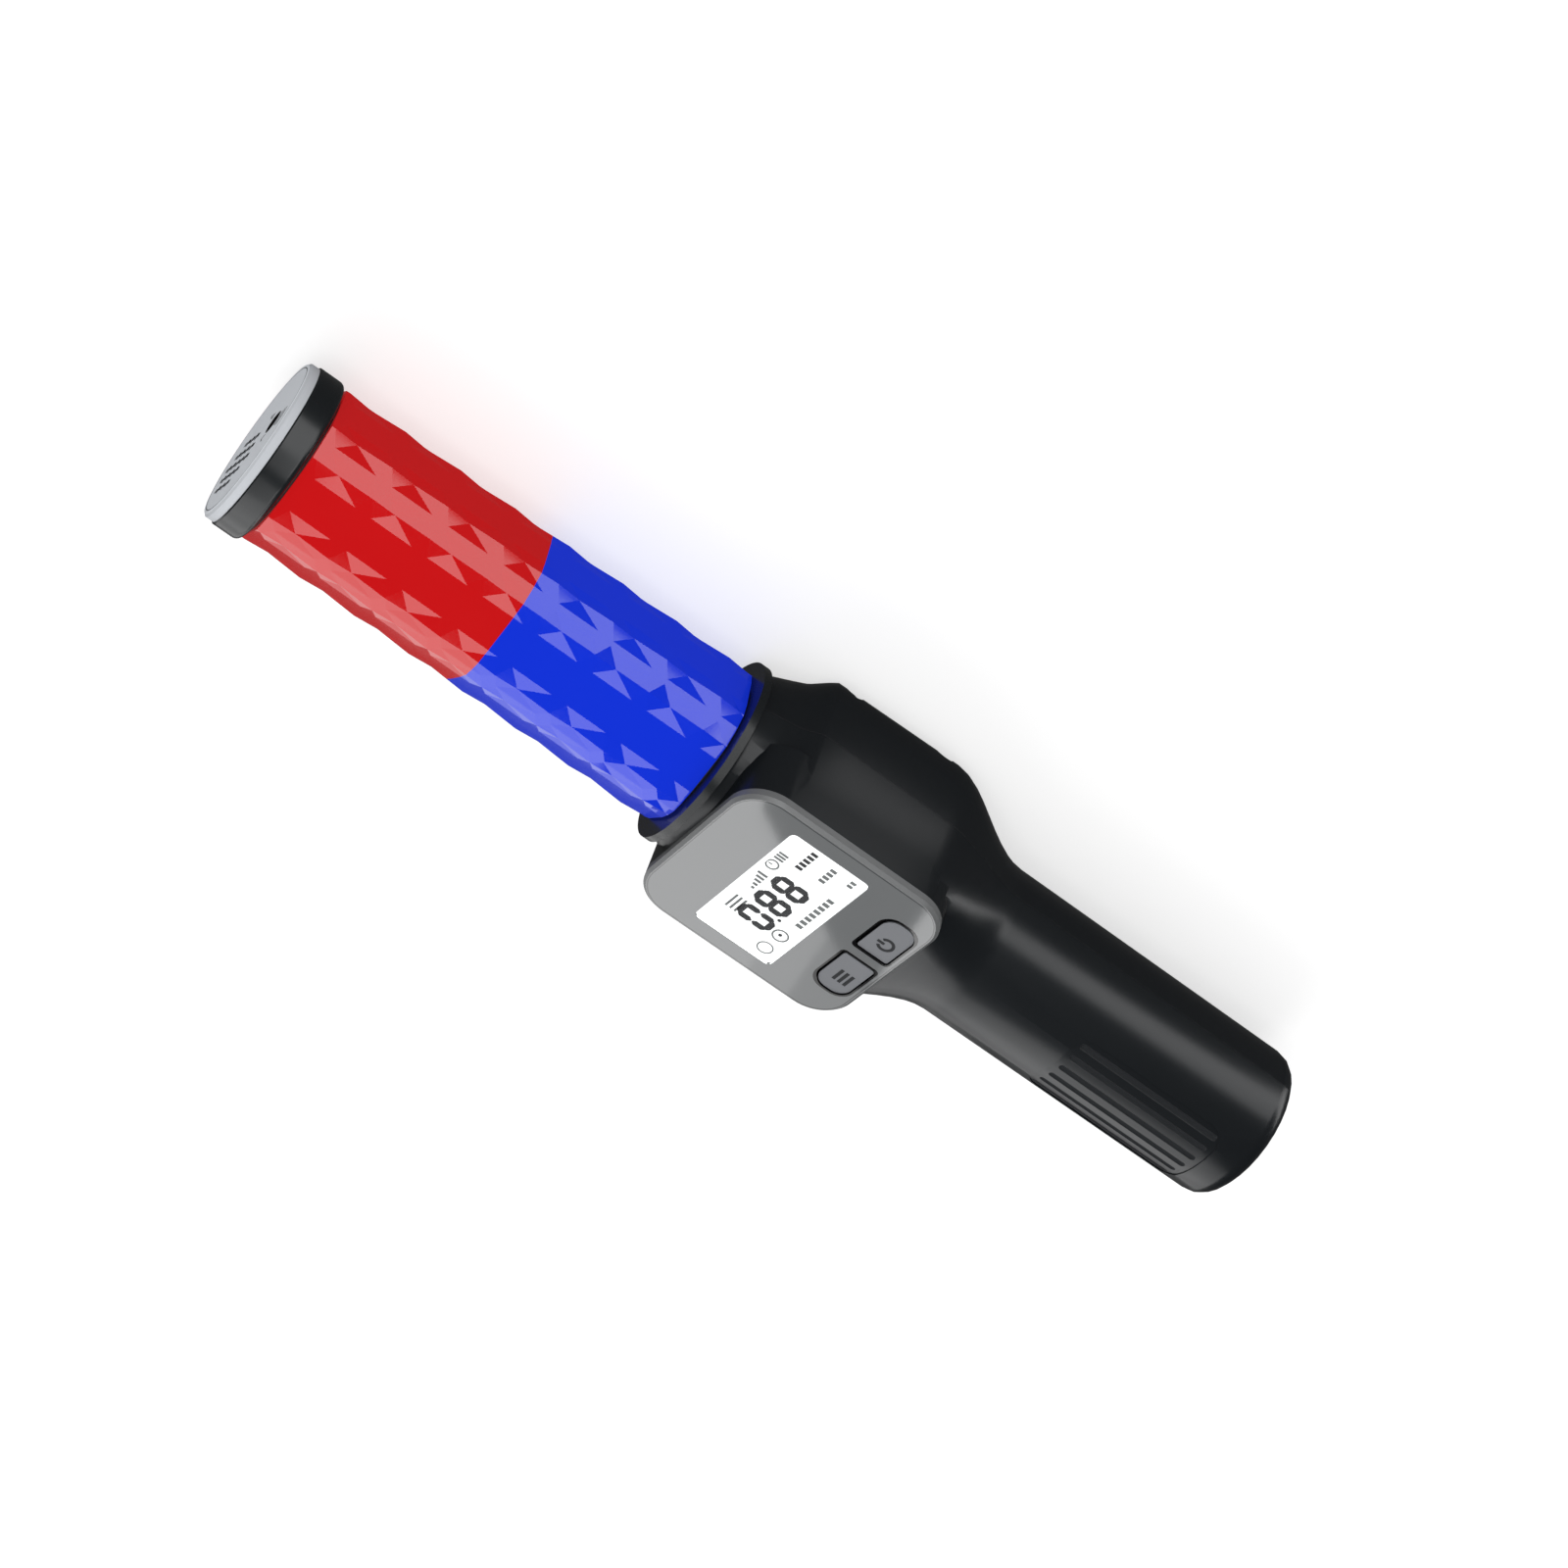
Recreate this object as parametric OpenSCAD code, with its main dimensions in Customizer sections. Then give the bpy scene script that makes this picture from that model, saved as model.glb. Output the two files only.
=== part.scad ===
// Traffic baton light with a built-in breath tester.
// The baton lies on its back: +X points to the light tip, +Z is the display side, and the
// origin is the centre of the overall box at its lowest level. The pieces are drawn in the
// baton's own axis frame, where x = 0 is the front face of the neck flange, and place()
// moves that frame onto the origin.

/* [Lens tube] */
// Length of each coloured lens
lens_len = 71; // [50:0.5:110]
// Distance from the axis to the lens edges at the tip
lens_r_tip = 25.5; // [24.2:0.1:26]
// Distance from the axis to the lens edges at the neck
lens_r_neck = 26.5; // [25:0.1:28]
// Radius of the bore through both lenses
lens_bore_r = 20.6; // [18.8:0.1:21]
// Angle that the narrow flat on the display side covers
front_angle = 15.5; // [12:0.5:24]
// Angle that each of the other narrow flats covers
narrow_angle = 24.7; // [20:0.1:28]
// Angle that each wide flat covers, apart from the one at the back
wide_angle = 48.5; // [44:0.5:50]
// Length of one notch cell along the lens edges
notch_pitch = 18.9; // [16:0.1:24]
// Distance from the joint between the lenses to the middle of the nearest notches
notch_shift = 3.7; // [0:0.1:8]
// Length of a notch where it cuts the flats
notch_len = 13.6; // [10:0.1:15]
// Distance from a lens edge to the corner of a notch
notch_side = 4.8; // [3:0.1:5]
// Depth of a notch at the lens edge
notch_depth = 0.7; // [0.4:0.1:2]
// Thickness of the gasket at each end of the tube
gasket_t = 0.8; // [0.5:0.1:2]

/* [Lens fittings] */
// Wall of the spigots and of the coupler inside the lens bore
spigot_wall = 2; // [1.5:0.1:3]
// Length of the spigots that enter the lenses
spigot_len = 8; // [5:0.5:14]
// Length of the coupler that joins the two lenses
coupler_len = 16; // [10:1:24]

/* [Tip] */
// Radius of the black cap ring
cap_r = 26.4; // [26:0.1:29]
// Length of the black cap ring
cap_len = 8.7; // [7:0.1:12]
// Radius of the round back edge of the cap ring
cap_round = 1.9; // [1:0.1:2.4]
// Wall of the cap ring
cap_wall = 2.6; // [2:0.1:3.2]
// Thickness of the web that closes the cap behind the sensor
web_t = 2.4; // [2:0.1:3]
// Radius of the front plate
plate_r = 25.9; // [25:0.1:26.2]
// How far the front plate stands out of the cap ring
plate_len = 3.1; // [3:0.1:5]
// Thickness of the face of the front plate
plate_t = 2.2; // [1.6:0.1:2.6]
// Bevel round the front plate
plate_bevel = 0.8; // [0.5:0.1:1.4]
// Roll of the grille and the inlet about the axis
plate_roll = 24; // [0:1:45]
// Radius of the breath inlet
inlet_r = 2.8; // [2:0.1:3.4]
// Distance from the axis to the inlet, along the grille rows
inlet_across = 11.3; // [9:0.1:13]
// Distance from the axis to the inlet, across the grille rows
inlet_along = 2.7; // [0:0.1:5]
// Distance from the axis to the middle of the grille, along its rows
grille_across = 7; // [6:0.1:9]
// Distance from the axis to the middle of the grille, across its rows
grille_along = 6.6; // [4:0.1:8]
// Distance between grille slots, both ways
slot_pitch = 4.1; // [3.4:0.1:4.4]
// Width of a grille slot
slot_w = 1.9; // [1:0.1:2.4]
// Length of a grille slot
slot_len = 2.9; // [2:0.1:3.2]
// Number of slots in the middle row of the grille
slot_count = 5; // [3:2:5]

/* [Sensor and speaker] */
// Radius of the speaker
speaker_r = 10; // [8:0.1:10.5]
// Radius of the gas sensor can
sensor_r = 4.6; // [3.8:0.1:5]
// Height of the gas sensor can
sensor_h = 3.4; // [2.6:0.1:4]
// Radius of the round sensor board
tip_board_r = 20; // [18:0.1:21]
// Height of the bosses that carry the sensor board
tip_boss_h = 1; // [0.6:0.1:1.6]

/* [Light spine] */
// Width of the square light spine
spine_w = 14; // [12:0.5:18]
// Wall of the light spine
spine_wall = 1.8; // [1.2:0.1:2.5]
// Width of the LED boards
led_board_w = 11; // [8:0.5:12]
// Distance between neighbouring LEDs
led_pitch = 16; // [10:1:24]
// Width of an LED
led_w = 5; // [3:0.1:6]
// Height of an LED
led_h = 1.6; // [1:0.1:2.5]
// Width of the flat cable inside the spine
cable_w = 8; // [5:0.5:9]
// Thickness of the flat cable
cable_t = 0.6; // [0.4:0.1:1]

/* [Neck] */
// Radius of the neck flange
flange_r = 30.3; // [29:0.1:31]
// Thickness of the neck flange
flange_t = 2.6; // [2:0.1:4]
// Radius of the neck behind the flange
neck_r = 28.2; // [27.5:0.1:28.5]
// Length of the neck that stays round inside
neck_len = 6.4; // [4:0.1:8]
// Length of the sleeve that the shells clamp
sleeve_len = 6.4; // [5:0.1:6.8]

/* [Housing] */
// Half the width of the housing
housing_hw = 33.7; // [33.2:0.1:38]
// Depth of the housing behind the axis, to its flat back
back_depth = 31; // [30.4:0.1:34]
// How far the back would bulge past its flat face
back_crown = 0.35; // [0.3:0.05:0.6]
// Height of the panel seat above the axis
seat_h = 28.3; // [28:0.1:30]
// Wall of the shells
shell_wall = 2.2; // [1.8:0.1:2.6]
// Length of the shoulders at the neck
shoulder_len = 13; // [8:0.5:18]
// Length of the housing at its full width
housing_len = 44; // [40:0.5:70]
// Length of the blend from the housing into the handle
blend_len = 35; // [28:0.5:50]
// Squareness of the display side, where 2 is round
front_square = 6; // [4:0.5:8]
// Squareness of the back at the neck end, where 2 is round
back_square = 4; // [3:0.5:8]
// Squareness of the back at the handle end
back_square_end = 4.5; // [3:0.5:10]

/* [Handle] */
// Radius of the handle
handle_r = 25.1; // [23.2:0.1:26]
// Length of the handle up to its round end
handle_len = 100; // [100:0.5:130]
// Radius of the round edge at the end of the handle
tail_round = 6; // [5:0.1:6.4]
// Number of grip grooves
groove_count = 6; // [2:1:7]
// Angle between neighbouring grip grooves
groove_step = 11.4; // [9:0.1:12]
// Radius of a grip groove
groove_r = 1.4; // [1:0.1:1.6]
// Depth of a grip groove
groove_depth = 0.9; // [0.4:0.1:1.1]
// Length of the grip grooves
groove_len = 50; // [30:1:60]
// Distance from the grooves to the tail
groove_to_tail = 17; // [13:0.5:25]
// Depth of the shallow pocket round the grooves
pocket_depth = 0.4; // [0.2:0.1:0.6]
// Margin of the pocket round the grooves
pocket_margin = 3; // [1.5:0.5:5]

/* [Panel] */
// Length of the panel along the baton
panel_len = 73; // [71:0.5:80]
// Width of the panel
panel_w = 65.8; // [62:0.1:66]
// Radius of the panel's corners
panel_r = 12.5; // [10:0.5:14]
// Thickness of the panel
panel_t = 3.2; // [2.8:0.1:4]
// Bevel round the panel
panel_bevel = 1; // [0.4:0.1:1.4]
// Width of the rim that the panel rests on
rim_w = 2; // [1.5:0.1:2]
// Gap between the neck flange and the panel
panel_gap = 3.4; // [3:0.1:5]

/* [Display] */
// Height of the display window along the baton
window_len = 27.8; // [22:0.1:30]
// Width of the display window
window_w = 51.8; // [40:0.1:52]
// Distance from the tip edge of the panel to the middle of the window
window_at = 33.3; // [30:0.1:34]
// Thickness of the display window
window_t = 1.2; // [0.8:0.1:1.5]
// Thickness of the backlight
backlight_t = 3; // [2:0.1:3.4]
// Thickness of every circuit board
board_t = 1.6; // [1:0.1:2]

/* [Buttons] */
// Length of a button along the baton
button_len = 10.9; // [8:0.1:12]
// Width of a button
button_w = 16.7; // [12:0.1:18]
// Width of the bar between the buttons
button_bar = 5.7; // [4:0.1:8]
// Distance from the tail edge of the panel to the buttons
button_margin = 3.4; // [3.3:0.1:5]
// Radius of the outer corners of a button
button_r = 4.5; // [2:0.1:5]
// Depth of a button's face below the panel
button_sink = 0.5; // [0.2:0.1:1]
// Extra gap on two sides of each button, towards the tip and -Y
button_gap = 0.8; // [0:0.1:1]
// Travel of a button
button_travel = 0.8; // [0.4:0.1:1]

/* [Battery] */
// Radius of a cell
cell_r = 9.2; // [8:0.1:9.3]
// Length of a cell
cell_len = 65; // [60:0.5:66]
// Length of a contact spring
spring_len = 3; // [2:0.1:4]

/* [Tail] */
// Width of the charge port
port_w = 9; // [8:0.1:10]
// Height of the charge port
port_h = 3.3; // [2.8:0.1:3.6]
// Length of the charge port
port_len = 7.4; // [6.5:0.1:8]
// Width of the port cover
cover_w = 14.4; // [12:0.1:18]
// Height of the port cover
cover_h = 7.4; // [6:0.1:8]
// Thickness of the port cover
cover_t = 1.5; // [1:0.1:2]

/* [Screws] */
// Radius of a shell screw's shank
screw_r = 1.4; // [1:0.1:1.5]
// Radius of a shell screw's head
screw_head_r = 2.7; // [2.2:0.1:2.8]

/* [Clearances] */
// Gap all round a button, the window and the port cover
slip = 0.3; // [0.2:0.05:0.4]
// Radial gap of the spigots, sleeve and plate
fit = 0.2; // [0.1:0.05:0.3]
// Gap under a part that rests on flat faces
rest_gap = 0.3; // [0.2:0.05:0.4]

/* [Hidden] */
$fn = 64;
BIG = 200; // larger than any piece, for cutting planes

// Stations along the axis, from the tip to the tail
x_lens = gasket_t;
x_joint = x_lens + lens_len;
x_lens_end = x_joint + lens_len;
x_cap = x_lens_end + gasket_t;
x_web = x_cap + web_t;
x_ring = x_cap + cap_len;
x_tip = x_ring + plate_len;
x_neck = -flange_t;
x_shoulder = x_neck - neck_len;
x_housing = x_shoulder - shoulder_len;
x_blend = x_housing - housing_len;
x_handle = x_blend - blend_len;
x_round = x_handle - handle_len;
x_tail = x_round - tail_round;

// Levels above the axis
panel_top = seat_h + panel_t;
window_z = panel_top - window_t - 0.1;
glass_t = 1.8;
glass_z = seat_h - glass_t;
backlight_z = glass_z - backlight_t;
board_z = backlight_z - board_t;

// Panel layout along the axis
x_panel = x_neck - panel_gap;
x_panel_mid = x_panel - panel_len / 2;
x_window = x_panel - window_at;
x_button = x_panel - panel_len + button_margin + button_len / 2;
y_button = (button_bar + button_w) / 2;

// Tail end: the covered port, its board on the plug's shelf, and the tail boss
cover_depth = cover_t + slip;
port_clear = 0.1;
port_x = x_tail + cover_depth + port_clear;
port_bite = 1.8; // how far the port reaches past the edge of its board
charge_board_len = 10;
x_board = port_x + port_bite;
x_shelf_end = x_board + charge_board_len;

// Battery bay in the handle, between the two bosses on the centre line
boss_r = 4;
boss_clear = 0.3;
shelf_gap = 1;
cradle_wall = 1.5;
contact_t = 0.5;
contact_room = contact_t + 0.1;
x_boss_tail = x_shelf_end + shelf_gap + boss_r;
x_cradle_end = x_boss_tail + boss_r + boss_clear;
x_cells_end = x_cradle_end + cradle_wall + contact_room + spring_len;
x_cells = x_cells_end + cell_len;
x_cradle = x_cells + contact_room + cradle_wall;
x_boss_front = x_cradle + boss_clear + boss_r;

// Lens edges, as angles from the display side towards +Y
notch_share = 0.47; // part of a flat's width that a notch may take
notch_deepest = 0.6; // where along its cell a notch is deepest
SIDE_EDGES = [
    for (i = [0:4])
        front_angle / 2 + ceil(i / 2) * wide_angle + floor(i / 2) * narrow_angle
];
EDGES = concat([for (i = [4:-1:0]) -SIDE_EDGES[i]], SIDE_EDGES);

// Local XY becomes world YZ at station x, and local Z becomes +X
module axial(x) {
    translate([x, 0, 0]) rotate([90, 0, 90]) children();
}

// From the axis frame to the part's own origin
module place() {
    translate([-(x_tip + x_tail) / 2, 0, back_depth]) children();
}

module tube(x, outer, inner, length) {
    axial(x) difference() {
        cylinder(r = outer, h = length);
        translate([0, 0, -1]) cylinder(r = inner, h = length + 2);
    }
}

// A rectangle with four round corners, length along X
module rounded(length, width, r) {
    square([length - 2 * r, width], center = true);
    square([length, width - 2 * r], center = true);
    for (sx = [-1, 1], sy = [-1, 1])
        translate([sx * (length / 2 - r), sy * (width / 2 - r)]) circle(r = r);
}

// ---- Lenses ----

function lens_r(x) = lens_r_neck + (lens_r_tip - lens_r_neck) * (x - x_lens) / (2 * lens_len);

function edge_point(i, x, sink = 0) =
    let (a = EDGES[(i + 10) % 10], r = lens_r(x) - sink) [x, r * sin(a), r * cos(a)];

// A point on the flat between edges i and j, notch_side away from edge i
function flat_point(i, j, x) =
    let (p = edge_point(i, x), q = edge_point(j, x))
        p + (q - p) * min(notch_side / norm(q - p), notch_share);

// The whole faceted tube: ten flats whose edges carry a row of six-sided notches
module faceted_tube() {
    cells = ceil(2 * lens_len / notch_pitch) + 2;
    start = x_joint + notch_shift - (floor(cells / 2) + 0.5) * notch_pitch;
    lead = (notch_pitch - notch_len) / 2;
    points = concat(
        [for (k = [0:cells], i = [0:9]) edge_point(i, start + k * notch_pitch)],
        [for (k = [0:cells - 1], i = [0:9])
            let (x = start + k * notch_pitch, near = x + lead, far = x + lead + notch_len)
            each [flat_point(i, i - 1, near), flat_point(i, i - 1, far),
                  flat_point(i, i + 1, near), flat_point(i, i + 1, far),
                  edge_point(i, x + notch_deepest * notch_pitch, notch_depth)]]
    );
    function e(k, i) = 10 * k + i % 10;
    function v(k, i, m) = 10 * (cells + 1) + 50 * k + 5 * (i % 10) + m;
    flats = [for (k = [0:cells - 1], i = [0:9]) each [
        [e(k, i), e(k, i + 1), v(k, i + 1, 0), v(k, i, 2)],
        [v(k, i, 2), v(k, i + 1, 0), v(k, i + 1, 1), v(k, i, 3)],
        [v(k, i, 3), v(k, i + 1, 1), e(k + 1, i + 1), e(k + 1, i)]
    ]];
    notches = [for (k = [0:cells - 1], i = [0:9])
        let (rim = [e(k, i), v(k, i, 2), v(k, i, 3), e(k + 1, i), v(k, i, 1), v(k, i, 0)])
        for (m = [0:5]) [v(k, i, 4), rim[m], rim[(m + 1) % 6]]];
    ends = [[for (i = [9:-1:0]) e(0, i)], [for (i = [0:9]) e(cells, i)]];
    polyhedron(points, concat(flats, notches, ends), convexity = 6);
}

module lens(x) {
    difference() {
        intersection() {
            faceted_tube();
            axial(x) cylinder(r = lens_r_neck + 5, h = lens_len);
        }
        axial(x - 1) cylinder(r = lens_bore_r, h = lens_len + 2);
    }
}

module red_lens() {
    color("red") place() lens(x_joint);
}

module blue_lens() {
    color("royalblue") place() lens(x_lens);
}

module lens_coupler() {
    color("whitesmoke") place()
        tube(x_joint - coupler_len / 2, lens_bore_r - fit, lens_bore_r - fit - spigot_wall, coupler_len);
}

module gasket(x) {
    tube(x, lens_bore_r + 2, lens_bore_r + fit, gasket_t);
}

module tip_gasket() {
    color("black") place() gasket(x_lens_end);
}

module neck_gasket() {
    color("black") place() gasket(0);
}

// ---- Tip ----

// The frame of the grille: local X runs along the rows, local Z points out of the tip
module plate_frame(x) {
    axial(x) rotate(-plate_roll) children();
}

// The square hole that carries the light spine
module spine_hole(x, length) {
    axial(x) translate([0, 0, length / 2]) cube([spine_w + 2 * fit, spine_w + 2 * fit, length], center = true);
}

module end_cap() {
    steps = 6;
    ring = [
        for (k = [0:steps]) let (a = 90 * k / steps)
            [cap_r - cap_round * (1 - sin(a)), cap_round * (1 - cos(a))],
        [cap_r, cap_len - 0.4],
        [cap_r - 0.4, cap_len],
        [cap_r - cap_wall, cap_len],
        [cap_r - cap_wall, web_t],
        [0, web_t],
        [0, 0]
    ];
    color("black") place() difference() {
        union() {
            axial(x_cap) rotate_extrude() polygon(ring);
            tube(x_cap - spigot_len, lens_bore_r - fit, lens_bore_r - fit - spigot_wall, spigot_len);
            for (a = [0, 120, 240])
                axial(x_web) rotate(a) translate([0, tip_board_r - 3, 0]) cylinder(r = 2, h = tip_boss_h);
        }
        spine_hole(x_cap - 1, web_t + 2);
    }
}

module grille_slot() {
    square([slot_w, slot_len - slot_w], center = true);
    for (s = [-1, 1]) translate([0, s * (slot_len - slot_w) / 2]) circle(d = slot_w);
}

// Places in the plate's frame: the grille's middle and, across from it, the inlet
grille_at = [grille_across, grille_along, 0];
inlet_at = [-inlet_across, -inlet_along, 0];

module grille() {
    half = (slot_count - 1) / 2;
    translate(grille_at)
        for (row = [-half:half])
            let (n = slot_count - abs(row))
            for (k = [0:n - 1])
                translate([(k - (n - 1) / 2) * slot_pitch, row * slot_pitch]) grille_slot();
}

module end_plate() {
    skirt_r = cap_r - cap_wall - fit;
    skirt_w = 2;
    profile = [
        [0, plate_len - plate_t],
        [skirt_r - skirt_w, plate_len - plate_t],
        [skirt_r - skirt_w, -skirt_w],
        [skirt_r, -skirt_w],
        [skirt_r, 0],
        [plate_r, 0],
        [plate_r, plate_len - plate_bevel],
        [plate_r - plate_bevel, plate_len],
        [0, plate_len]
    ];
    color("silver") place() difference() {
        axial(x_ring) rotate_extrude($fn = 96) polygon(profile);
        plate_frame(x_ring) {
            translate(inlet_at) cylinder(r = inlet_r, h = plate_len + 1);
            linear_extrude(plate_len + 1) grille();
        }
    }
}

tip_board_x = x_web + tip_boss_h;
tip_room_x = x_tip - plate_t;
on_board_x = tip_board_x + board_t;

module sensor_board() {
    color("darkgreen") place() axial(tip_board_x) cylinder(r = tip_board_r, h = board_t);
}

module gas_sensor() {
    color("gainsboro") place() plate_frame(on_board_x) translate(inlet_at) {
        cylinder(r = sensor_r, h = 0.6);
        cylinder(r = sensor_r - 0.5, h = sensor_h);
    }
}

module inlet_tube() {
    base = on_board_x + sensor_h;
    color("dimgray") place() plate_frame(base) translate(inlet_at) difference() {
        cylinder(r = inlet_r + 1.2, h = tip_room_x - base);
        translate([0, 0, -1]) cylinder(r = inlet_r + fit, h = tip_room_x - base + 2);
    }
}

module speaker() {
    depth = tip_room_x - on_board_x - rest_gap;
    color("dimgray") place() plate_frame(on_board_x) translate(grille_at) difference() {
        cylinder(r = speaker_r, h = depth);
        translate([0, 0, depth - 1]) difference() {
            cylinder(r = speaker_r - 1.2, h = 2);
            cylinder(r = 3, h = 2);
        }
    }
}

// ---- Light spine ----

spine_x = x_neck - spigot_len;
led_board_x = x_lens + 3;
led_board_end = x_lens_end - 3;

module light_spine() {
    inner = spine_w - 2 * spine_wall;
    color("white") place() axial(spine_x) linear_extrude(x_web - spine_x) difference() {
        square(spine_w, center = true);
        square(inner, center = true);
    }
}

module led_board() {
    length = led_board_end - led_board_x;
    translate([led_board_x + length / 2, 0, spine_w / 2 + board_t / 2])
        cube([length, led_board_w, board_t], center = true);
}

module front_led_board() {
    color("ivory") place() led_board();
}

module rear_led_board() {
    color("ivory") place() mirror([0, 0, 1]) led_board();
}

// A row of LEDs on both boards, centred between stations x0 and x1
module leds(x0, x1) {
    count = floor((x1 - x0) / led_pitch);
    start = (x0 + x1 - (count - 1) * led_pitch) / 2;
    for (k = [0:count - 1], side = [-1, 1])
        translate([start + k * led_pitch, 0, side * (spine_w / 2 + board_t + led_h / 2)])
            cube([led_w, led_w, led_h], center = true);
}

module red_leds() {
    color("salmon") place() leds(x_joint, led_board_end);
}

module blue_leds() {
    color("lightblue") place() leds(led_board_x, x_joint);
}

module flat_cable() {
    floor_z = -spine_w / 2 + spine_wall;
    x_bend = spine_x - 4;
    color("gray") place() translate([0, cable_w / 2, 0]) rotate([90, 0, 0]) linear_extrude(cable_w)
        polygon([
            [x_bend, floor_z],
            [tip_board_x, floor_z],
            [tip_board_x, floor_z + cable_t],
            [x_bend + cable_t, floor_z + cable_t],
            [x_bend + cable_t, board_z],
            [x_bend, board_z]
        ]);
}

// ---- Neck ----

module neck_ring() {
    sleeve_r = neck_r - shell_wall - 2 * fit;
    color("black") place() difference() {
        union() {
            axial(x_neck) cylinder(r = flange_r, h = flange_t, $fn = 96);
            tube(0, lens_bore_r - fit, lens_bore_r - fit - spigot_wall, spigot_len);
            tube(x_neck - sleeve_len, sleeve_r, sleeve_r - spigot_wall, sleeve_len);
        }
        spine_hole(x_neck - 1, flange_t + 2);
    }
}

// ---- Shells ----

function ease(t) = t * t * (3 - 2 * t);
flare = 0.6; // part of the shoulders that flares before they swell

// Sections of the body: half width, front and back depth, and the exponents of the front and
// back outlines, where 1 is round and less is squarer
ROUND_NECK = [neck_r, neck_r, neck_r, 1, 1];
FULL = [housing_hw, seat_h, back_depth + back_crown, 2 / front_square, 2 / back_square];
FULL_END = [housing_hw, seat_h, back_depth + back_crown, 2 / front_square, 2 / back_square_end];
ROUND_GRIP = [handle_r, handle_r, handle_r, 1, 1];

// The sizes flare gently and then swell, while the corners sharpen evenly
function swell(t) = flare * t + (1 - flare) * ease(max(0, (t - flare) / (1 - flare)));
function shoulder(t) =
    [for (k = [0:4]) ROUND_NECK[k] + (FULL[k] - ROUND_NECK[k]) * (k < 3 ? swell(t) : t)];

function section(x, inside = false) =
    x >= (inside ? x_shoulder : x_neck) ? ROUND_NECK :
    x >= x_housing ? shoulder((x_neck - x) / (x_neck - x_housing)) :
    x >= x_blend ? FULL + (FULL_END - FULL) * (x_housing - x) / housing_len :
    x >= x_handle ? FULL_END + (ROUND_GRIP - FULL_END) * ease((x_blend - x) / blend_len) :
    x >= x_round ? ROUND_GRIP :
    let (cut = tail_round - sqrt(max(0, tail_round * tail_round - (x_round - x) * (x_round - x))))
    ROUND_GRIP - [cut, cut, cut, 0, 0];

SHOULDER_STEPS = 7;
BLEND_STEPS = 9;
TAIL_STEPS = 4;
STATIONS = [
    x_neck,
    for (k = [0:SHOULDER_STEPS]) x_shoulder - shoulder_len * k / SHOULDER_STEPS,
    for (k = [0:BLEND_STEPS]) x_blend - blend_len * k / BLEND_STEPS,
    for (k = [0:TAIL_STEPS]) x_round - tail_round * sin(90 * k / TAIL_STEPS)
];
ARC_STEPS = 16;

// Point j of the half section at x: side 1 is the display side, side 2 is the back
function arc_point(x, side, j, inset) =
    let (s = section(x, inset > 0), a = 180 * j / ARC_STEPS, p = s[2 + side])
    let (across = (s[0] - inset) * sign(cos(a)) * pow(abs(cos(a)), p))
    [x, across, min((s[side] - inset) * pow(sin(a), p), back_depth - inset)];

// Half of the hollow body above the split plane: outer and inner arcs, joined station by station
module half_shell(side) {
    m = ARC_STEPS;
    last = len(STATIONS) - 1;
    points = [for (x = STATIONS, inset = [0, shell_wall], j = [0:m]) arc_point(x, side, j, inset)];
    function o(i, j) = (2 * i) * (m + 1) + j;
    function n(i, j) = (2 * i + 1) * (m + 1) + j;
    skin = [for (i = [0:last - 1], j = [0:m - 1]) each [
        [o(i, j), o(i, j + 1), o(i + 1, j + 1)], [o(i, j), o(i + 1, j + 1), o(i + 1, j)],
        [n(i, j), n(i + 1, j), n(i + 1, j + 1)], [n(i, j), n(i + 1, j + 1), n(i, j + 1)]
    ]];
    split = [for (i = [0:last - 1]) each [
        [o(i, 0), o(i + 1, 0), n(i + 1, 0), n(i, 0)],
        [o(i + 1, m), o(i, m), n(i, m), n(i + 1, m)]
    ]];
    ends = [for (j = [0:m - 1]) each [
        [o(0, j + 1), o(0, j), n(0, j), n(0, j + 1)],
        [o(last, j), o(last, j + 1), n(last, j + 1), n(last, j)]
    ]];
    polyhedron(points, concat(skin, split, ends), convexity = 8);
}

// Shell screws: a pair on each side of the housing and two on the handle's centre line
y_boss = housing_hw - shell_wall - boss_r + 0.6;
SIDE_BOSSES = [for (x = [x_housing - 6, x_blend + 5], s = [-1, 1]) [x, s * y_boss, 0]];
GRIP_BOSSES = [[x_boss_front, 0, 0], [x_boss_tail, 0, 0]];
boss_up = 14;
screw_seat = 8;

module at_bosses() {
    for (b = concat(SIDE_BOSSES, GRIP_BOSSES)) translate(b) children();
}

// A boss of the back shell, ending inside the shell's wall
module back_boss(b) {
    intersection() {
        translate(b) cylinder(r = boss_r, h = back_depth);
        axial(b[0] - boss_r - 1) linear_extrude(2 * boss_r + 2) polygon([
            for (j = [0:ARC_STEPS])
                let (p = arc_point(b[0] + boss_r, 2, j, shell_wall / 2)) [p[1], p[2]]
        ]);
    }
}

// The shallow pocket that the grip grooves lie in, with round corners
module grip_pocket() {
    half_angle = (groove_count - 1) / 2 * groove_step + pocket_margin / handle_r * 180 / PI;
    length = groove_len + 2 * pocket_margin;
    intersection() {
        tube(x_tail, 2 * handle_r, handle_r - pocket_depth, BIG);
        translate([x_tail + groove_to_tail + groove_len / 2, 0, 0])
            linear_extrude(BIG) rounded(length, 2 * handle_r * sin(half_angle), 2 * pocket_margin);
    }
}

module grip_grooves() {
    x_end = x_tail + groove_to_tail;
    for (k = [0:groove_count - 1])
        rotate([(k - (groove_count - 1) / 2) * groove_step, 0, 0])
            translate([x_end, 0, handle_r + groove_r - groove_depth]) {
                axial(0) cylinder(r = groove_r, h = groove_len, $fn = 24);
                for (x = [0, groove_len]) translate([x, 0, 0]) sphere(r = groove_r, $fn = 24);
            }
}

// The outline of the panel, or of the opening under it
module panel_outline(inset) {
    translate([x_panel_mid, 0])
        rounded(panel_len - 2 * inset, panel_w - 2 * inset, panel_r - inset);
}

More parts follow.
